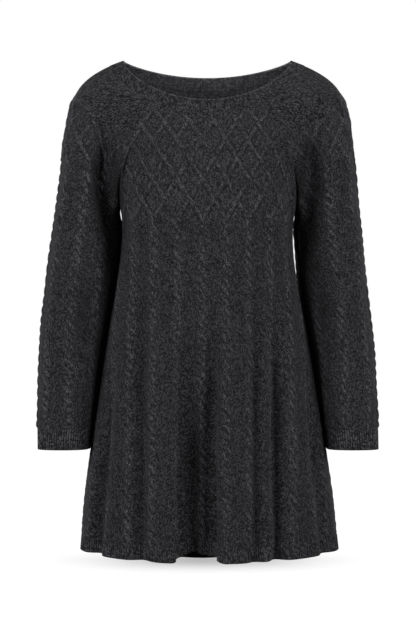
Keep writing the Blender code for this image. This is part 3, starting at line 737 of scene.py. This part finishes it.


# %% [markdown]
# ## The valleys beside the arms
# Shade is painted into the deep valleys between the arms and the chest, where little light
# reaches. Each valley is a line of levels, with how far out it lies, how much painted shade it
# gets, and how wide. Beside a front raglan the form has a sharp notch, and real cloth bridges
# one, so there each level has a depth by which the cloth comes forward, and how far from the seam.

# %% Tables of the painted shade in the valleys
PaintedValley = namedtuple("PaintedValley", "arm sleeve_only points")
PAINTED_VALLEYS = [
    PaintedValley("right", False, [
        (-0.130, 0.170, 0.00, 0.012), (-0.146, 0.168, 0.35, 0.012), (-0.166, 0.158, 0.45, 0.013),
        (-0.187, 0.157, 0.50, 0.014), (-0.207, 0.152, 0.60, 0.013), (-0.227, 0.148, 0.72, 0.010),
        (-0.248, 0.143, 0.60, 0.007), (-0.268, 0.142, 0.55, 0.006), (-0.309, 0.143, 0.40, 0.006),
        (-0.350, 0.148, 0.30, 0.006), (-0.400, 0.156, 0.00, 0.006)]),
    PaintedValley("left", False, [
        (-0.125, 0.170, 0.00, 0.012), (-0.146, 0.167, 0.45, 0.012), (-0.166, 0.164, 0.60, 0.012),
        (-0.187, 0.160, 0.60, 0.012), (-0.207, 0.155, 0.60, 0.010), (-0.227, 0.151, 0.60, 0.008),
        (-0.248, 0.147, 0.45, 0.008), (-0.290, 0.142, 0.20, 0.006), (-0.330, 0.144, 0.00, 0.006)]),
    PaintedValley("right", True, [
        (-0.207, 0.184, 0.00, 0.006), (-0.228, 0.184, 0.50, 0.006), (-0.248, 0.181, 0.55, 0.006),
        (-0.268, 0.177, 0.60, 0.006), (-0.289, 0.175, 0.75, 0.006), (-0.330, 0.172, 0.80, 0.008),
        (-0.370, 0.170, 0.70, 0.008), (-0.411, 0.170, 0.35, 0.008), (-0.450, 0.172, 0.00, 0.008)]),
    PaintedValley("left", True, [
        (-0.230, 0.180, 0.00, 0.006), (-0.268, 0.180, 0.35, 0.006), (-0.289, 0.177, 0.55, 0.007),
        (-0.310, 0.174, 0.65, 0.008), (-0.330, 0.173, 0.65, 0.008), (-0.370, 0.174, 0.40, 0.010),
        (-0.395, 0.176, 0.30, 0.010), (-0.430, 0.178, 0.00, 0.010)]),
    PaintedValley("right", True, [
        (-0.340, 0.205, 0.00, 0.018), (-0.410, 0.207, 0.35, 0.018), (-0.450, 0.210, 0.35, 0.018),
        (-0.520, 0.220, 0.00, 0.018)]),
    PaintedValley("left", True, [
        (-0.300, 0.192, 0.00, 0.020), (-0.360, 0.192, 0.35, 0.020), (-0.440, 0.196, 0.45, 0.022),
        (-0.530, 0.210, 0.00, 0.022)]),
]
Fill = namedtuple("Fill", "level depth reach")
FILLS = [
    Fill(-0.120, 0.0000, 0.004), Fill(-0.146, 0.0017, 0.005), Fill(-0.166, 0.0031, 0.006),
    Fill(-0.180, 0.0049, 0.008), Fill(-0.192, 0.0052, 0.009), Fill(-0.205, 0.0035, 0.011),
    Fill(-0.222, 0.0000, 0.012),
]
FILL_POWER = 1.3         # shapes the bridge from seam to cloth
RAGLAN_PAINTED_LIGHT = 0.15      # the seam itself is painted lighter by this, over the shade of its groove
RAGLAN_REACH = 0.0025


# %% Paint shade into the valleys, and bridge the raglan notches
def painted_valley_shade(rows, arm):
    """The share of its tone that the body, or one arm worked out as a left one, keeps under the painted
    shade of the valleys.
    """
    across, forward, level = np.moveaxis(rows, -1, 0)
    kept = np.ones_like(across)
    for valley in PAINTED_VALLEYS:
        if valley.sleeve_only and arm is None:
            continue
        mine = (across > 0) == (valley.arm == "left") if arm is None else arm == valley.arm
        levels, *columns = np.array(valley.points).T
        line, share, width = (np.interp(-level, -levels, column) for column in columns)
        offset = abs(across) - line
        kept = kept - mine * (forward < 0) * share * np.exp(-((offset / width) ** 2))
    return np.maximum(kept, 0)


def ease_raglan(rows, side):
    """Bring the cloth beside a front raglan forward, so that no sharp valley runs along it."""
    level, depth, reach = np.array(FILLS).T
    depth = np.interp(-rows[..., 2], -level, depth)
    reach = np.interp(-rows[..., 2], -level, reach)
    forward = depth * np.clip(1 - side / reach, 0, 1) ** FILL_POWER * (rows[..., 1] < 0)
    return rows - forward[..., None] * np.array([0, 1.0, 0])


# %% [markdown]
# ## Soft unevenness
# Knitted cloth is never quite smooth between its folds. A few slow waves of unlike lengths,
# laid over each other, lift and sink it by a millimetre or so. A few short, shallow creases
# break up the chest and the back. Each is a short line of points on its panel, with a depth
# and a width, and it fades out at both ends.

# %% Slow waves and creases
WAVE = 0.0011            # height of the waves
WAVES_ACROSS = (0.019, 0.053, 0.011)     # how fast they come and go across the cloth
WAVES_DOWN = (0.071, 0.047, 0.036)       # and down it
WAVE_STEPS = (1.7, 2.3, 0.9)             # odd steps, so that no two panels are alike
SWAY = 2                 # how far the tallest wave winds
SMALL_WAVE = 0.6         # height of the smallest wave, as a share of the tallest

Line = namedtuple("Line", "piece depth width points")
LINES = [
    Line("front", 0.0040, 0.009, [(-0.079, -0.255), (-0.080, -0.300), (-0.082, -0.375)]),
    Line("front", 0.0030, 0.010, [(0.092, -0.230), (0.094, -0.290), (0.090, -0.350)]),
    Line("back", 0.0035, 0.010, [(0.060, -0.240), (0.064, -0.300), (0.062, -0.380)]),
]
LINE_START = 0.35        # over this share of its length a crease grows
LINE_STOP = 0.2          # and over this share it dies away


def waves(across, below, seed):
    """A slow unevenness of the cloth, different on each panel."""
    first, second, third = (across / run for run in WAVES_ACROSS)
    high, middle, deep = (below / run for run in WAVES_DOWN)
    step = [seed * size for size in WAVE_STEPS]
    tall = np.sin(first + step[0] + SWAY * np.sin(high + seed))
    tall = tall * np.sin(middle + step[1] + np.sin(second))
    return WAVE * (tall + SMALL_WAVE * np.sin(third + deep + step[2]))


def line_distance(points, line):
    """Distance of points in the X-Z plane from a line, and how far along it they lie, 0 to 1."""
    line = np.array(line)
    best = np.full(points.shape[:-1], np.inf)
    along = np.zeros(points.shape[:-1])
    for first, (start, stop) in enumerate(zip(line[:-1], line[1:])):
        way = stop - start
        part = np.clip(((points - start) @ way) / (way @ way), 0, 1)
        gap = np.linalg.norm(points - start - part[..., None] * way, axis=-1)
        along = np.where(gap < best, (first + part) / (len(line) - 1), along)
        best = np.minimum(best, gap)
    return best, along


def creases(name, rows, out):
    """How deep the creases press into a panel, on the side that it faces."""
    pressed = np.zeros(rows.shape[:-1])
    for line in LINES:
        if line.piece != name:
            continue
        gap, along = line_distance(rows[..., [0, 2]], line.points)
        facing = out[..., 1] < 0 if name == "front" else out[..., 1] > 0
        soft = ease(along / LINE_START) * ease((1 - along) / LINE_STOP)
        pressed += np.where(facing, line.depth * soft * np.exp(-((gap / line.width) ** 2)), 0)
    return pressed


# %% [markdown]
# ## Turning a panel into cloth
# The outer face is a fine grid, moved out along its own normals by the pattern. The inner
# face doesn't need that detail, so it is a grid with a quarter of the rows and columns, one
# cloth's thickness inside. Bridging their edges closes the two faces into one wall.

# %% Grids into meshes
SHARP = math.radians(70)     # faces that meet at more than this keep a sharp edge


def normals(rows):
    """Outward normals of a grid of points."""
    filled = np.where(np.isnan(rows), 0, rows)
    across = np.gradient(filled, axis=1)
    down = np.gradient(filled, axis=0)
    gone = np.isnan(rows[..., 0])
    if gone.any():
        top = int(np.argmin(gone[:, 0]))
        keep = ~gone[0]
        across[:top, keep] = np.gradient(rows[:top, keep], axis=1)
        down[top] = rows[top + 1] - rows[top]
        down[top, keep] = (rows[top + 1, keep] - rows[top - 1, keep]) / 2
    return unit(np.cross(down, across))


def lay_grid(sheet, rows, knit, layer):
    """Add a grid of points to a sheet, and drop the ones that aren't there."""
    height, width = rows.shape[0] - 1, rows.shape[1] - 1
    made = bmesh.ops.create_grid(sheet, x_segments=width, y_segments=height, size=1)["verts"]
    bare = []
    for vertex in made:
        column = round((vertex.co.x + 1) / 2 * width)
        row = height - round((vertex.co.y + 1) / 2 * height)
        if np.isnan(rows[row, column, 0]):
            bare.append(vertex)
            continue
        vertex.co = rows[row, column]
        vertex[layer] = knit[row, column]
    bmesh.ops.delete(sheet, geom=bare, context="VERTS")


def rim_loops(sheet):
    """The open edges of a sheet, as separate loops."""
    loose = {edge for edge in sheet.edges if edge.is_boundary}
    loops = []
    while loose:
        edge = loose.pop()
        loop, ends = [edge], list(edge.verts)
        while ends:
            for other in ends.pop().link_edges:
                if other in loose:
                    loose.remove(other)
                    loop.append(other)
                    ends.extend(other.verts)
        loops.append(loop)
    return loops


def finish_mesh(name, sheet):
    """Make a sheet into a smooth object."""
    mesh = bpy.data.meshes.new(name)
    sheet.to_mesh(mesh)
    sheet.free()
    mesh.shade_smooth()
    mesh.set_sharp_from_angle(angle=SHARP)
    piece = bpy.data.objects.new(name, mesh)
    bpy.context.scene.collection.objects.link(piece)
    triangles = sum(len(face.vertices) - 2 for face in mesh.polygons)
    print("%s: %d triangles" % (name, triangles))
    return piece


def cloth(name, outer, inner, knit, closed):
    """A wall of cloth between a fine outer grid and a coarse inner one."""
    sheet = bmesh.new()
    layer = sheet.verts.layers.float_color.new("knit")
    lay_grid(sheet, outer, knit, layer)
    lay_grid(sheet, inner, knit[::LINING, ::LINING], layer)
    if closed:
        bmesh.ops.remove_doubles(sheet, verts=sheet.verts, dist=WELD)
    loops = rim_loops(sheet)
    loops.sort(key=lambda loop: sum(edge.verts[0].co.z for edge in loop) / len(loop))
    for first in range(0, len(loops), 2):
        bmesh.ops.bridge_loops(sheet, edges=loops[first] + loops[first + 1])
    bmesh.ops.recalc_face_normals(sheet, faces=sheet.faces)
    return finish_mesh(name, sheet)


# %% [markdown]
# ## Dressing the form
# Each panel now gets its relief: cables, calm places, slow waves and creases together.
# The stitch measures go with it as an attribute, so that the finish can draw its stitches on
# the cloth: how far across and how far down it each lies, whether plain or purl shows, and
# the yarn's tone there, with its painted light and shade. How the cables hang has a line for
# each panel: where the middle one lies, how far apart they are on each side, and how far
# below the armpit the ropes begin.

# %% How the cables hang
Hang = namedtuple("Hang", "middle right left ropes_from")
HANGS = {
    "front": Hang(-0.009, 0.0425, 0.0388, 0.037),
    "back": Hang(0.004, 0.0430, 0.0430, 0.037),
    "sleeve_left": Hang(-0.049, 0.0430, 0.0350, -0.065),
    "sleeve_right": Hang(-0.046, 0.0430, 0.0330, -0.065),
}


def hung(across, hang):
    """The measure across a panel, as its cables hang."""
    from_middle = across - hang.middle
    return from_middle * CABLE_PITCH / np.where(from_middle < 0, hang.right, hang.left)


# %% Dress a panel
CABLE_SHOWS = 0.0002     # plain stitches show where a cable is at least this tall
CALM_SHOWS = 0.2         # and at least this share of the pattern stays
WAVE_PRESSED = 0.8       # the waves lose this share where sleeve and body lie close
WAVE_CALM = 0.020        # and grow over this distance from a seam


def dress(name, falls, count, seed):
    """Make the cloth of a panel, with a count of rows above the arms and falls below them."""
    panel = panels[name]
    closed = panel.arm is not None
    flip = -1 if panel.arm == "right" else 1
    yoke, yoke_below = panel.yoke_rows(count)
    tube = panel.tube_rows(falls)
    rows = np.concatenate([yoke, tube])
    across = np.concatenate([panel.yoke_across(yoke), panel.tube_across(falls)])
    below = np.concatenate([yoke_below, run_lengths(tube, 0)])
    side, head, foot = edge_distance(rows, closed)
    rows = ease_raglan(rows, side)

    hang = HANGS[name]
    height, tone = cables(flip * hung(across, hang), below, hang.ropes_from)
    patterned = grown(panel, head)
    close = closeness(panel, count, rows[..., 2])
    calm = ease(side / RAGLAN_CALM) * ease(foot / SEAM_CALM) * patterned
    calm = calm * (1 - (1 - PRESSED) * close)
    wave = waves(across, below, seed) * (1 - WAVE_PRESSED * close) * ease(side / WAVE_CALM)
    lift = height * calm + wave
    out = normals(rows)
    if closed:
        out[:, 0] = out[:, -1] = unit(out[:, 0] + out[:, -1])
        lift[:, -1] = lift[:, 0]
    pressed = creases(name, rows, out)
    outer = rows + out * (lift - pressed)[..., None]
    inner = (rows - out * (WALL + pressed)[..., None])[::LINING, ::LINING]

    on_cable = (height > CABLE_SHOWS) * (calm > CALM_SHOWS)
    plain = np.maximum(on_cable, np.round(1 - patterned))
    tone = tone + (PLAIN_TONE - tone) * (1 - patterned)
    # Painted light along the seams, over the shade of their grooves.
    tone = tone + RAGLAN_PAINTED_LIGHT * np.exp(-((side / RAGLAN_REACH) ** 2))
    # Painted shade in the valleys beside the arms.
    tone = tone * painted_valley_shade(rows, panel.arm)
    knit = np.stack([flip * across, below, plain, tone], axis=-1)
    mirror = (flip, 1, 1)
    piece = cloth(name + "_knit", outer * mirror, inner * mirror, knit, closed)
    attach(piece, "root")
    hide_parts(name)
    return piece


# %% Front, back and sleeves
hem_seam = 1 - HEM_BAND / (ARMPIT_LEVEL - HEM_LEVEL)
cuff_seam = 1 - CUFF_BAND / (ARMPIT_LEVEL - CUFF_LEVEL)
body_falls = np.linspace(0, hem_seam, BODY_ROWS + 1)
sleeve_falls = np.linspace(0, cuff_seam, SLEEVE_ROWS + 1)

knitted = [
    dress("front", body_falls, YOKE_ROWS, 1.0),
    dress("back", body_falls, YOKE_ROWS, 2.0),
    dress("sleeve_left", sleeve_falls, SLEEVE_YOKE_ROWS, 3.0),
    dress("sleeve_right", sleeve_falls, SLEEVE_YOKE_ROWS, 4.0),
]

# %% [markdown]
# ## The ribbed bands
# Neckband, hems and cuffs are one by one rib: a plain column stands proud, a purl column
# sinks, and so on round the band. A band is a fine grid with its ribs evenly spaced along the
# cloth, given its thickness by a Solidify modifier, so the ribs show on the inside too.

# %% Measures of the stitches and ribs
STITCH = 0.0030          # width of a stitch
STITCH_TALL = 0.0020
BAR_TALL = 0.0042        # from one purl bar to the next
RIB_PITCH = 0.0040
RIB_STEPS = 6            # columns of the mesh to one rib
RIB_HEIGHT = 0.0012
BAND_ROWS = 10
BAND_WALL = 0.0020       # a band is a little thinner than the cabled cloth
EDGE_PAINTED_LIGHT = 3.0          # the neckline's own edge is painted lighter by this: a painted highlight
Shades = namedtuple("Shades", "rib furrow")
NECK_SHADES = Shades(1.12, 0.78)         # painted light on the top of a rib, and painted shade in its furrow
HEM_SHADES = Shades(1.08, 0.74)
CUFF_SHADES = Shades(1.55, 0.32)


def even_columns(rows, count):
    """The same rows with their columns evenly spaced along the middle one."""
    distance = lengths(rows[len(rows) // 2])
    where = np.linspace(0, distance[-1], count + 1)
    return np.stack([pick(row, distance, where) for row in rows])


# %% Make a band
def band(name, rows, shades, closed, flip=1, edge_painted_light=0.0):
    """A ribbed band on rows of points, given from the top down."""
    girth = lengths(rows[len(rows) // 2])[-1]
    ribs = round(girth / RIB_PITCH)
    rows = even_columns(rows, ribs * RIB_STEPS)
    phase = np.arange(ribs * RIB_STEPS + 1)[None, :] / RIB_STEPS
    rib = 0.5 + 0.5 * np.cos(2 * math.pi * phase)
    outer = rows + normals(rows) * (RIB_HEIGHT * (rib - 0.5))[..., None]
    down = lengths(rows[:, 0])[:, None]
    # Painted light on the rib tops, painted shade in the furrows, and a painted highlight on the top edge.
    tone = shades.rib * rib + shades.furrow * (1 - rib) + edge_painted_light * (down == 0)
    knit = np.stack(np.broadcast_arrays(phase * STITCH, down, 1.0, tone), axis=-1)
    sheet = bmesh.new()
    layer = sheet.verts.layers.float_color.new("knit")
    lay_grid(sheet, outer * (flip, 1, 1), knit, layer)
    if closed:
        bmesh.ops.remove_doubles(sheet, verts=sheet.verts, dist=WELD)
    if flip < 0:
        bmesh.ops.reverse_faces(sheet, faces=sheet.faces)
    piece = finish_mesh(name + "_rib", sheet)
    thick = piece.modifiers.new("wall", "SOLIDIFY")
    thick.thickness = BAND_WALL
    thick.offset = -1.0
    thick.use_rim = True
    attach(piece, "root")
    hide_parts(name)
    return piece


# %% Hems, cuffs and neckband
hem_falls = np.linspace(hem_seam, 1, BAND_ROWS + 1)
cuff_falls = np.linspace(cuff_seam, 1, BAND_ROWS + 1)
neck_falls = np.linspace(0, 1, BAND_ROWS + 1)
neck_front, neck_back, neck_left, neck_right = (
    panels[name].band_rows(neck_falls) for name in ("front", "back", "sleeve_left", "sleeve_right")
)
neck_right = neck_right[:, ::-1] * (-1, 1, 1)
neck = np.concatenate([neck_front, neck_left, neck_back, neck_right, neck_front[:, :1]], axis=1)
bands = [
    band("neckband", neck, NECK_SHADES, True, edge_painted_light=EDGE_PAINTED_LIGHT),
    band("hem_front", panels["front"].tube_rows(hem_falls), HEM_SHADES, False),
    band("hem_back", panels["back"].tube_rows(hem_falls), HEM_SHADES, False),
    band("cuff_left", panels["sleeve_left"].tube_rows(cuff_falls), CUFF_SHADES, True),
    band("cuff_right", panels["sleeve_right"].tube_rows(cuff_falls), CUFF_SHADES, True, flip=-1),
]

# %% [markdown]
# ## Writing a finish
# A finish is a tree of shader nodes. Long node trees are easier to read as sums, so a small
# class wraps a socket and turns Python's operators into Math nodes. Every other node is made
# by one method.

# %% Node helpers
class Value:
    """A number that changes over the surface."""

    def __init__(self, finish, socket):
        self.finish = finish
        self.socket = socket

    def math(self, operation, other=None, first=None):
        """What a Math node makes of this value, and of another one if it is given."""
        left = self if first is None else first
        sockets = {0: left} if other is None else {0: left, 1: other}
        made = self.finish.node("ShaderNodeMath", {"operation": operation}, sockets)
        return Value(self.finish, made.outputs[0])

    def __add__(self, other):
        return self.math("ADD", other)

    __radd__ = __add__

    def __sub__(self, other):
        return self.math("SUBTRACT", other)

    def __rsub__(self, other):
        return self.math("SUBTRACT", self, first=other)

    def __mul__(self, other):
        return self.math("MULTIPLY", other)

    __rmul__ = __mul__

    def __truediv__(self, other):
        return self.math("DIVIDE", other)

    def floor(self):
        return self.math("FLOOR")

    def fract(self):
        return self.math("FRACT")

    def arch(self):
        """A round arch, 0 at 0 and 1 and tallest between."""
        return (self * math.pi).math("SINE")

    def ramp(self, start, over):
        """0 at a start, and 1 once the value has run over the next stretch."""
        return ((self - start) / over).math("MAXIMUM", 0.0).math("MINIMUM", 1.0)


class Finish:
    """A material whose nodes are all made by one method."""

    def __init__(self, name):
        self.material = bpy.data.materials.new(name)
        self.material.use_nodes = True
        self.tree = self.material.node_tree
        self.tree.nodes.clear()

    def node(self, kind, settings=None, sockets=None):
        """A node of a kind, with its settings, and its sockets set or linked."""
        made = self.tree.nodes.new(kind)
        for key, value in (settings or {}).items():
            setattr(made, key, value)
        for key, value in (sockets or {}).items():
            if isinstance(value, Value):
                value = value.socket
            if isinstance(value, bpy.types.NodeSocket):
                self.tree.links.new(value, made.inputs[key])
            else:
                made.inputs[key].default_value = value
        return made

    def value(self, kind, output, settings=None, sockets=None):
        """One number that a node gives."""
        return Value(self, self.node(kind, settings, sockets).outputs[output])

    def noise(self, across, down):
        """A random number for each square of a grid."""
        cell = self.node("ShaderNodeCombineXYZ", None, {0: across.floor(), 1: down.floor(), 2: 0.0})
        sockets = {"Vector": cell.outputs[0]}
        return self.value("ShaderNodeTexWhiteNoise", 0, {"noise_dimensions": "2D"}, sockets)

    def blend(self, mask, low_colour, high_colour):
        """A colour between two, by a mask."""
        sockets = {0: mask, 6: low_colour, 7: high_colour}
        return self.node("ShaderNodeMix", {"data_type": "RGBA"}, sockets).outputs[2]


# %% [markdown]
# ## Charcoal marl wool
# A marl yarn is spun from light and dark fibres, so every stitch has its own grey. The
# stitches come from the attribute: legs of a V on the plain side, small bars on the purl
# side, and slanting plies along the ropes. Where the inside of the back faces forward it is
# painted lighter and more even, and the tops of stitches get a little painted highlight.
# Wool has no gloss, but its loose fibres catch light at the edges: the sheen.

# %% Measures of the yarn
DARK = (0.0040, 0.0040, 0.0045, 1.0)
LIGHT = (0.2700, 0.2706, 0.2950, 1.0)
FULL = 2.0               # a shade of this is as light as LIGHT
LEG_ENDS = 0.55          # a stitch's leg keeps this share of its height at its ends
BAR_ENDS = 0.7           # and a purl bar this one
SLANT = 0.5              # the yarn of a rope leans this much
PLY = 0.0015             # width of one ply of it
PLY_FLECKS = 0.7         # flecks of a ply to the height of a stitch
PLY_LEAN = 0.4
ROPED = (-0.12, 0.04)    # plies start at this measure below the armpit, and grow over this
BEHIND = (0.015, 0.025)  # painted light on the inner face starts this far behind the side line, over this,
INWARD = (-0.2, -1 / 3)  # and where the cloth faces forward by this
INNER_PAINTED_LIGHT = 1.3        # the inner face is painted lighter by this share
INNER_EVEN = 0.45        # and painted more even, by this share, round this shade
INNER_SHADE = 0.95

SPECK = 1.20             # a stitch is lighter than the darkest ones by up to this
SPECK_EVEN = 0.3         # low numbers make light stitches rare
PLAIN_SPECK = 0.6        # on the plain shoulders the stitches differ by this much more,
PLAIN_DARK = 0.20        # are darker by this,
PLAIN_WIDE = 0.3         # and are wider and lower by these
PLAIN_LOW = 0.4
FIBRES = 1100.0          # single fibres to a metre
FIBRE = 2.2              # how much they differ
CLOUDS = 70.0            # larger patches to a metre
CLOUD = 0.25             # how much those differ
SHADE_DOWN = 0.07        # takes all shades down
STITCH_TOP_PAINTED_LIGHT = 0.12            # the top of a stitch is painted lighter by this: a painted highlight
LOOP_DEPTH = 0.0011      # how far a stitch stands out, drawn as a bump
FUZZ = 0.5               # how tall loose fibres are, against a stitch


# %% Marl yarn
def marl(name):
    """Marl yarn, stitch by stitch."""
    finish = Finish(name)
    measures = finish.node("ShaderNodeAttribute", {"attribute_name": "knit"})
    parts = finish.node("ShaderNodeSeparateXYZ", None, {0: measures.outputs["Vector"]})
    cloth_across, cloth_down, plain = (Value(finish, parts.outputs[axis]) for axis in range(3))
    tone = Value(finish, measures.outputs["Alpha"])
    across = cloth_across / STITCH
    down = cloth_down / STITCH_TALL
    roped = plain * cloth_down.ramp(*ROPED)
    rest = plain - roped

    column = across.fract()
    row = down + (column - 0.5).math("ABSOLUTE")
    knit_height = (column * 2.0).fract().arch() * (LEG_ENDS + (1 - LEG_ENDS) * row.fract().arch())
    bars = (down * (STITCH_TALL / BAR_TALL) + across.floor() * 0.5).fract()
    purl_height = bars.arch() * (BAR_ENDS + (1 - BAR_ENDS) * column.arch())
    slant = (cloth_across - SLANT * cloth_down) / PLY
    ply = slant.fract()
    height = purl_height + plain * (knit_height - purl_height)
    height = height + roped * (ply.arch() - height)

    yarn = finish.noise(across * (2.0 - PLAIN_WIDE * rest), row * (1.0 + PLAIN_LOW * rest))
    strand = finish.noise(slant, down * PLY_FLECKS + ply * PLY_LEAN)
    speck = yarn + roped * (strand - yarn)
    place = finish.node("ShaderNodeTexCoord").outputs["Object"]
    fibre = finish.value("ShaderNodeTexNoise", 0, None, {
        "Vector": place, "Scale": FIBRES, "Detail": 1.0, "Roughness": 0.6})
    cloud = finish.value("ShaderNodeTexNoise", 0, None, {
        "Vector": place, "Scale": CLOUDS, "Detail": 2.0})
    shade = (SPECK + PLAIN_SPECK * rest) * speck * (SPECK_EVEN + (1 - SPECK_EVEN) * speck)
    shade = shade + FIBRE * (fibre - 0.5) - SHADE_DOWN - PLAIN_DARK * rest
    shade = shade + CLOUD * (cloud - 0.5)

    # Painted light on the inside of the back, where it faces forward.
    backward = finish.value("ShaderNodeSeparateXYZ", 1, None, {0: place})
    facing = finish.node("ShaderNodeNewGeometry").outputs["Normal"]
    facing = finish.value("ShaderNodeSeparateXYZ", 1, None, {0: facing})
    inner = backward.ramp(*BEHIND) * facing.ramp(*INWARD)
    # The tops of stitches get a painted highlight, and the inner face its painted light.
    shade = (shade.math("MAXIMUM", 0.0) + STITCH_TOP_PAINTED_LIGHT * height) * (tone * (1.0 + INNER_PAINTED_LIGHT * inner))
    shade = shade + INNER_EVEN * inner * (INNER_SHADE - shade)
    colour = finish.blend((shade / FULL).math("MINIMUM", 1.0), DARK, LIGHT)

    bump = finish.node("ShaderNodeBump", None, {
        "Strength": 0.8, "Distance": LOOP_DEPTH, "Height": height + FUZZ * fibre})
    shader = finish.node("ShaderNodeBsdfPrincipled", None, {
        "Base Color": colour,
        "Roughness": 0.92,
        "Specular IOR Level": 0.15,
        "Sheen Weight": 0.10,
        "Sheen Roughness": 0.5,
        "Sheen Tint": (0.75, 0.76, 0.80, 1.0),
        "Normal": bump.outputs[0],
    })
    finish.node("ShaderNodeOutputMaterial", None, {0: shader.outputs[0]})
    print("%s: %d nodes" % (name, len(finish.tree.nodes)))
    return finish.material


for pieces, name in ((knitted, "charcoal_cable_knit"), (bands, "charcoal_rib_knit")):
    wool = marl(name)
    for piece in pieces:
        piece.data.materials.append(wool)

# %% [markdown]
# ## The studio
# The sweater is shown on plain white: a pale floor just under its hem, and a white world all
# round. Two large soft lights in front and two behind shape its folds from both sides. The
# floor is the stage, not a piece. It would give back too much light if it were really white,
# so it is dark to everything but the camera, and its soft shadow is drawn on it.

# %% Floor
FLOOR_HALF = 400
FLOOR_DROP = 0.004       # the floor lies this far under the lowest point of the hem
FLOOR_SHADE = 0.10       # how much of the light that falls on it the floor gives back
SHADOW_MIDDLE = (-0.005, 0.12, 0.0)
SHADOW_SPREAD = (0.42, 0.28, 1000.0)   # the soft shadow under the hem fades out at this reach
SHADOW_DEPTH = 0.54      # how dark its middle is
BLACK = (0.0, 0.0, 0.0, 1.0)
WHITE = (1.0, 1.0, 1.0, 1.0)

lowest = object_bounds()[0].z
floor_mesh = bmesh.new()
bmesh.ops.create_grid(floor_mesh, x_segments=1, y_segments=1, size=FLOOR_HALF)
bmesh.ops.translate(floor_mesh, verts=floor_mesh.verts, vec=(0, 0, lowest - FLOOR_DROP))
floor_data = bpy.data.meshes.new("floor")
floor_mesh.to_mesh(floor_data)
floor_mesh.free()
floor = bpy.data.objects.new("floor", floor_data)
bpy.context.scene.collection.objects.link(floor)

pale = Finish("pale_floor")
spot = pale.node("ShaderNodeTexCoord").outputs["Object"]
for step, by in (("SUBTRACT", SHADOW_MIDDLE), ("DIVIDE", SHADOW_SPREAD)):
    spot = pale.node("ShaderNodeVectorMath", {"operation": step}, {0: spot, 1: by}).outputs[0]
away = pale.value("ShaderNodeVectorMath", "Value", {"operation": "LENGTH"}, {0: spot})
fade = {"Value": away, "From Max": 1.0, "To Min": 1.0, "To Max": 0.0}
shadow = pale.value("ShaderNodeMapRange", 0, {"interpolation_type": "SMOOTHSTEP"}, fade)
glow = pale.blend(1.0 - SHADOW_DEPTH * (shadow * shadow), BLACK, WHITE)
seen = pale.node("ShaderNodeLightPath").outputs["Is Camera Ray"]
pale_shader = pale.node("ShaderNodeBsdfPrincipled", None, {
    "Base Color": (FLOOR_SHADE, FLOOR_SHADE, FLOOR_SHADE, 1.0),
    "Roughness": 0.9,
    "Specular IOR Level": 0.0,
    "Emission Color": pale.blend(seen, BLACK, glow),
    "Emission Strength": 1.0,
})
pale.node("ShaderNodeOutputMaterial", None, {0: pale_shader.outputs[0]})
floor_data.materials.append(pale.material)
print("floor at %.4f m" % (lowest - FLOOR_DROP))

# %% World
ROOM_LIGHT = 0.08        # light from all round, as a share of the white that shows

world = bpy.data.worlds.new("white_studio")
world.use_nodes = True
air = world.node_tree.nodes
seen = air.new("ShaderNodeLightPath")
amount = air.new("ShaderNodeMapRange")
amount.inputs["To Min"].default_value = ROOM_LIGHT
amount.inputs["To Max"].default_value = 1.0
world.node_tree.links.new(seen.outputs["Is Camera Ray"], amount.inputs["Value"])
world.node_tree.links.new(amount.outputs[0], air["Background"].inputs["Strength"])
air["Background"].inputs["Color"].default_value = WHITE
bpy.context.scene.world = world

# %% Soft lights
LAMP_SIZE = 1.5
LAMP_AIM = Vector((0, 0, -0.4))
Lamp = namedtuple("Lamp", "name place power")
LAMPS = [
    Lamp("left_light", (2.13, -1.65, 0.15), 33.5),
    Lamp("right_light", (-2.13, -1.65, 0.15), 35),
    Lamp("left_back_light", (1.70, 2.20, 0.40), 22),
    Lamp("right_back_light", (-1.70, 2.20, 0.40), 22),
]
for lamp in LAMPS:
    light = bpy.data.lights.new(lamp.name, "AREA")
    light.shape = "SQUARE"
    light.size = LAMP_SIZE
    light.energy = lamp.power
    holder = bpy.data.objects.new(lamp.name, light)
    holder.location = lamp.place
    holder.rotation_mode = "QUATERNION"
    holder.rotation_quaternion = (LAMP_AIM - holder.location).to_track_quat("-Z", "Y")
    bpy.context.scene.collection.objects.link(holder)
bpy.context.scene.view_settings.view_transform = "Standard"
bpy.context.scene.view_settings.look = "None"
print("lights: %.1f W in all" % sum(lamp.power for lamp in LAMPS))
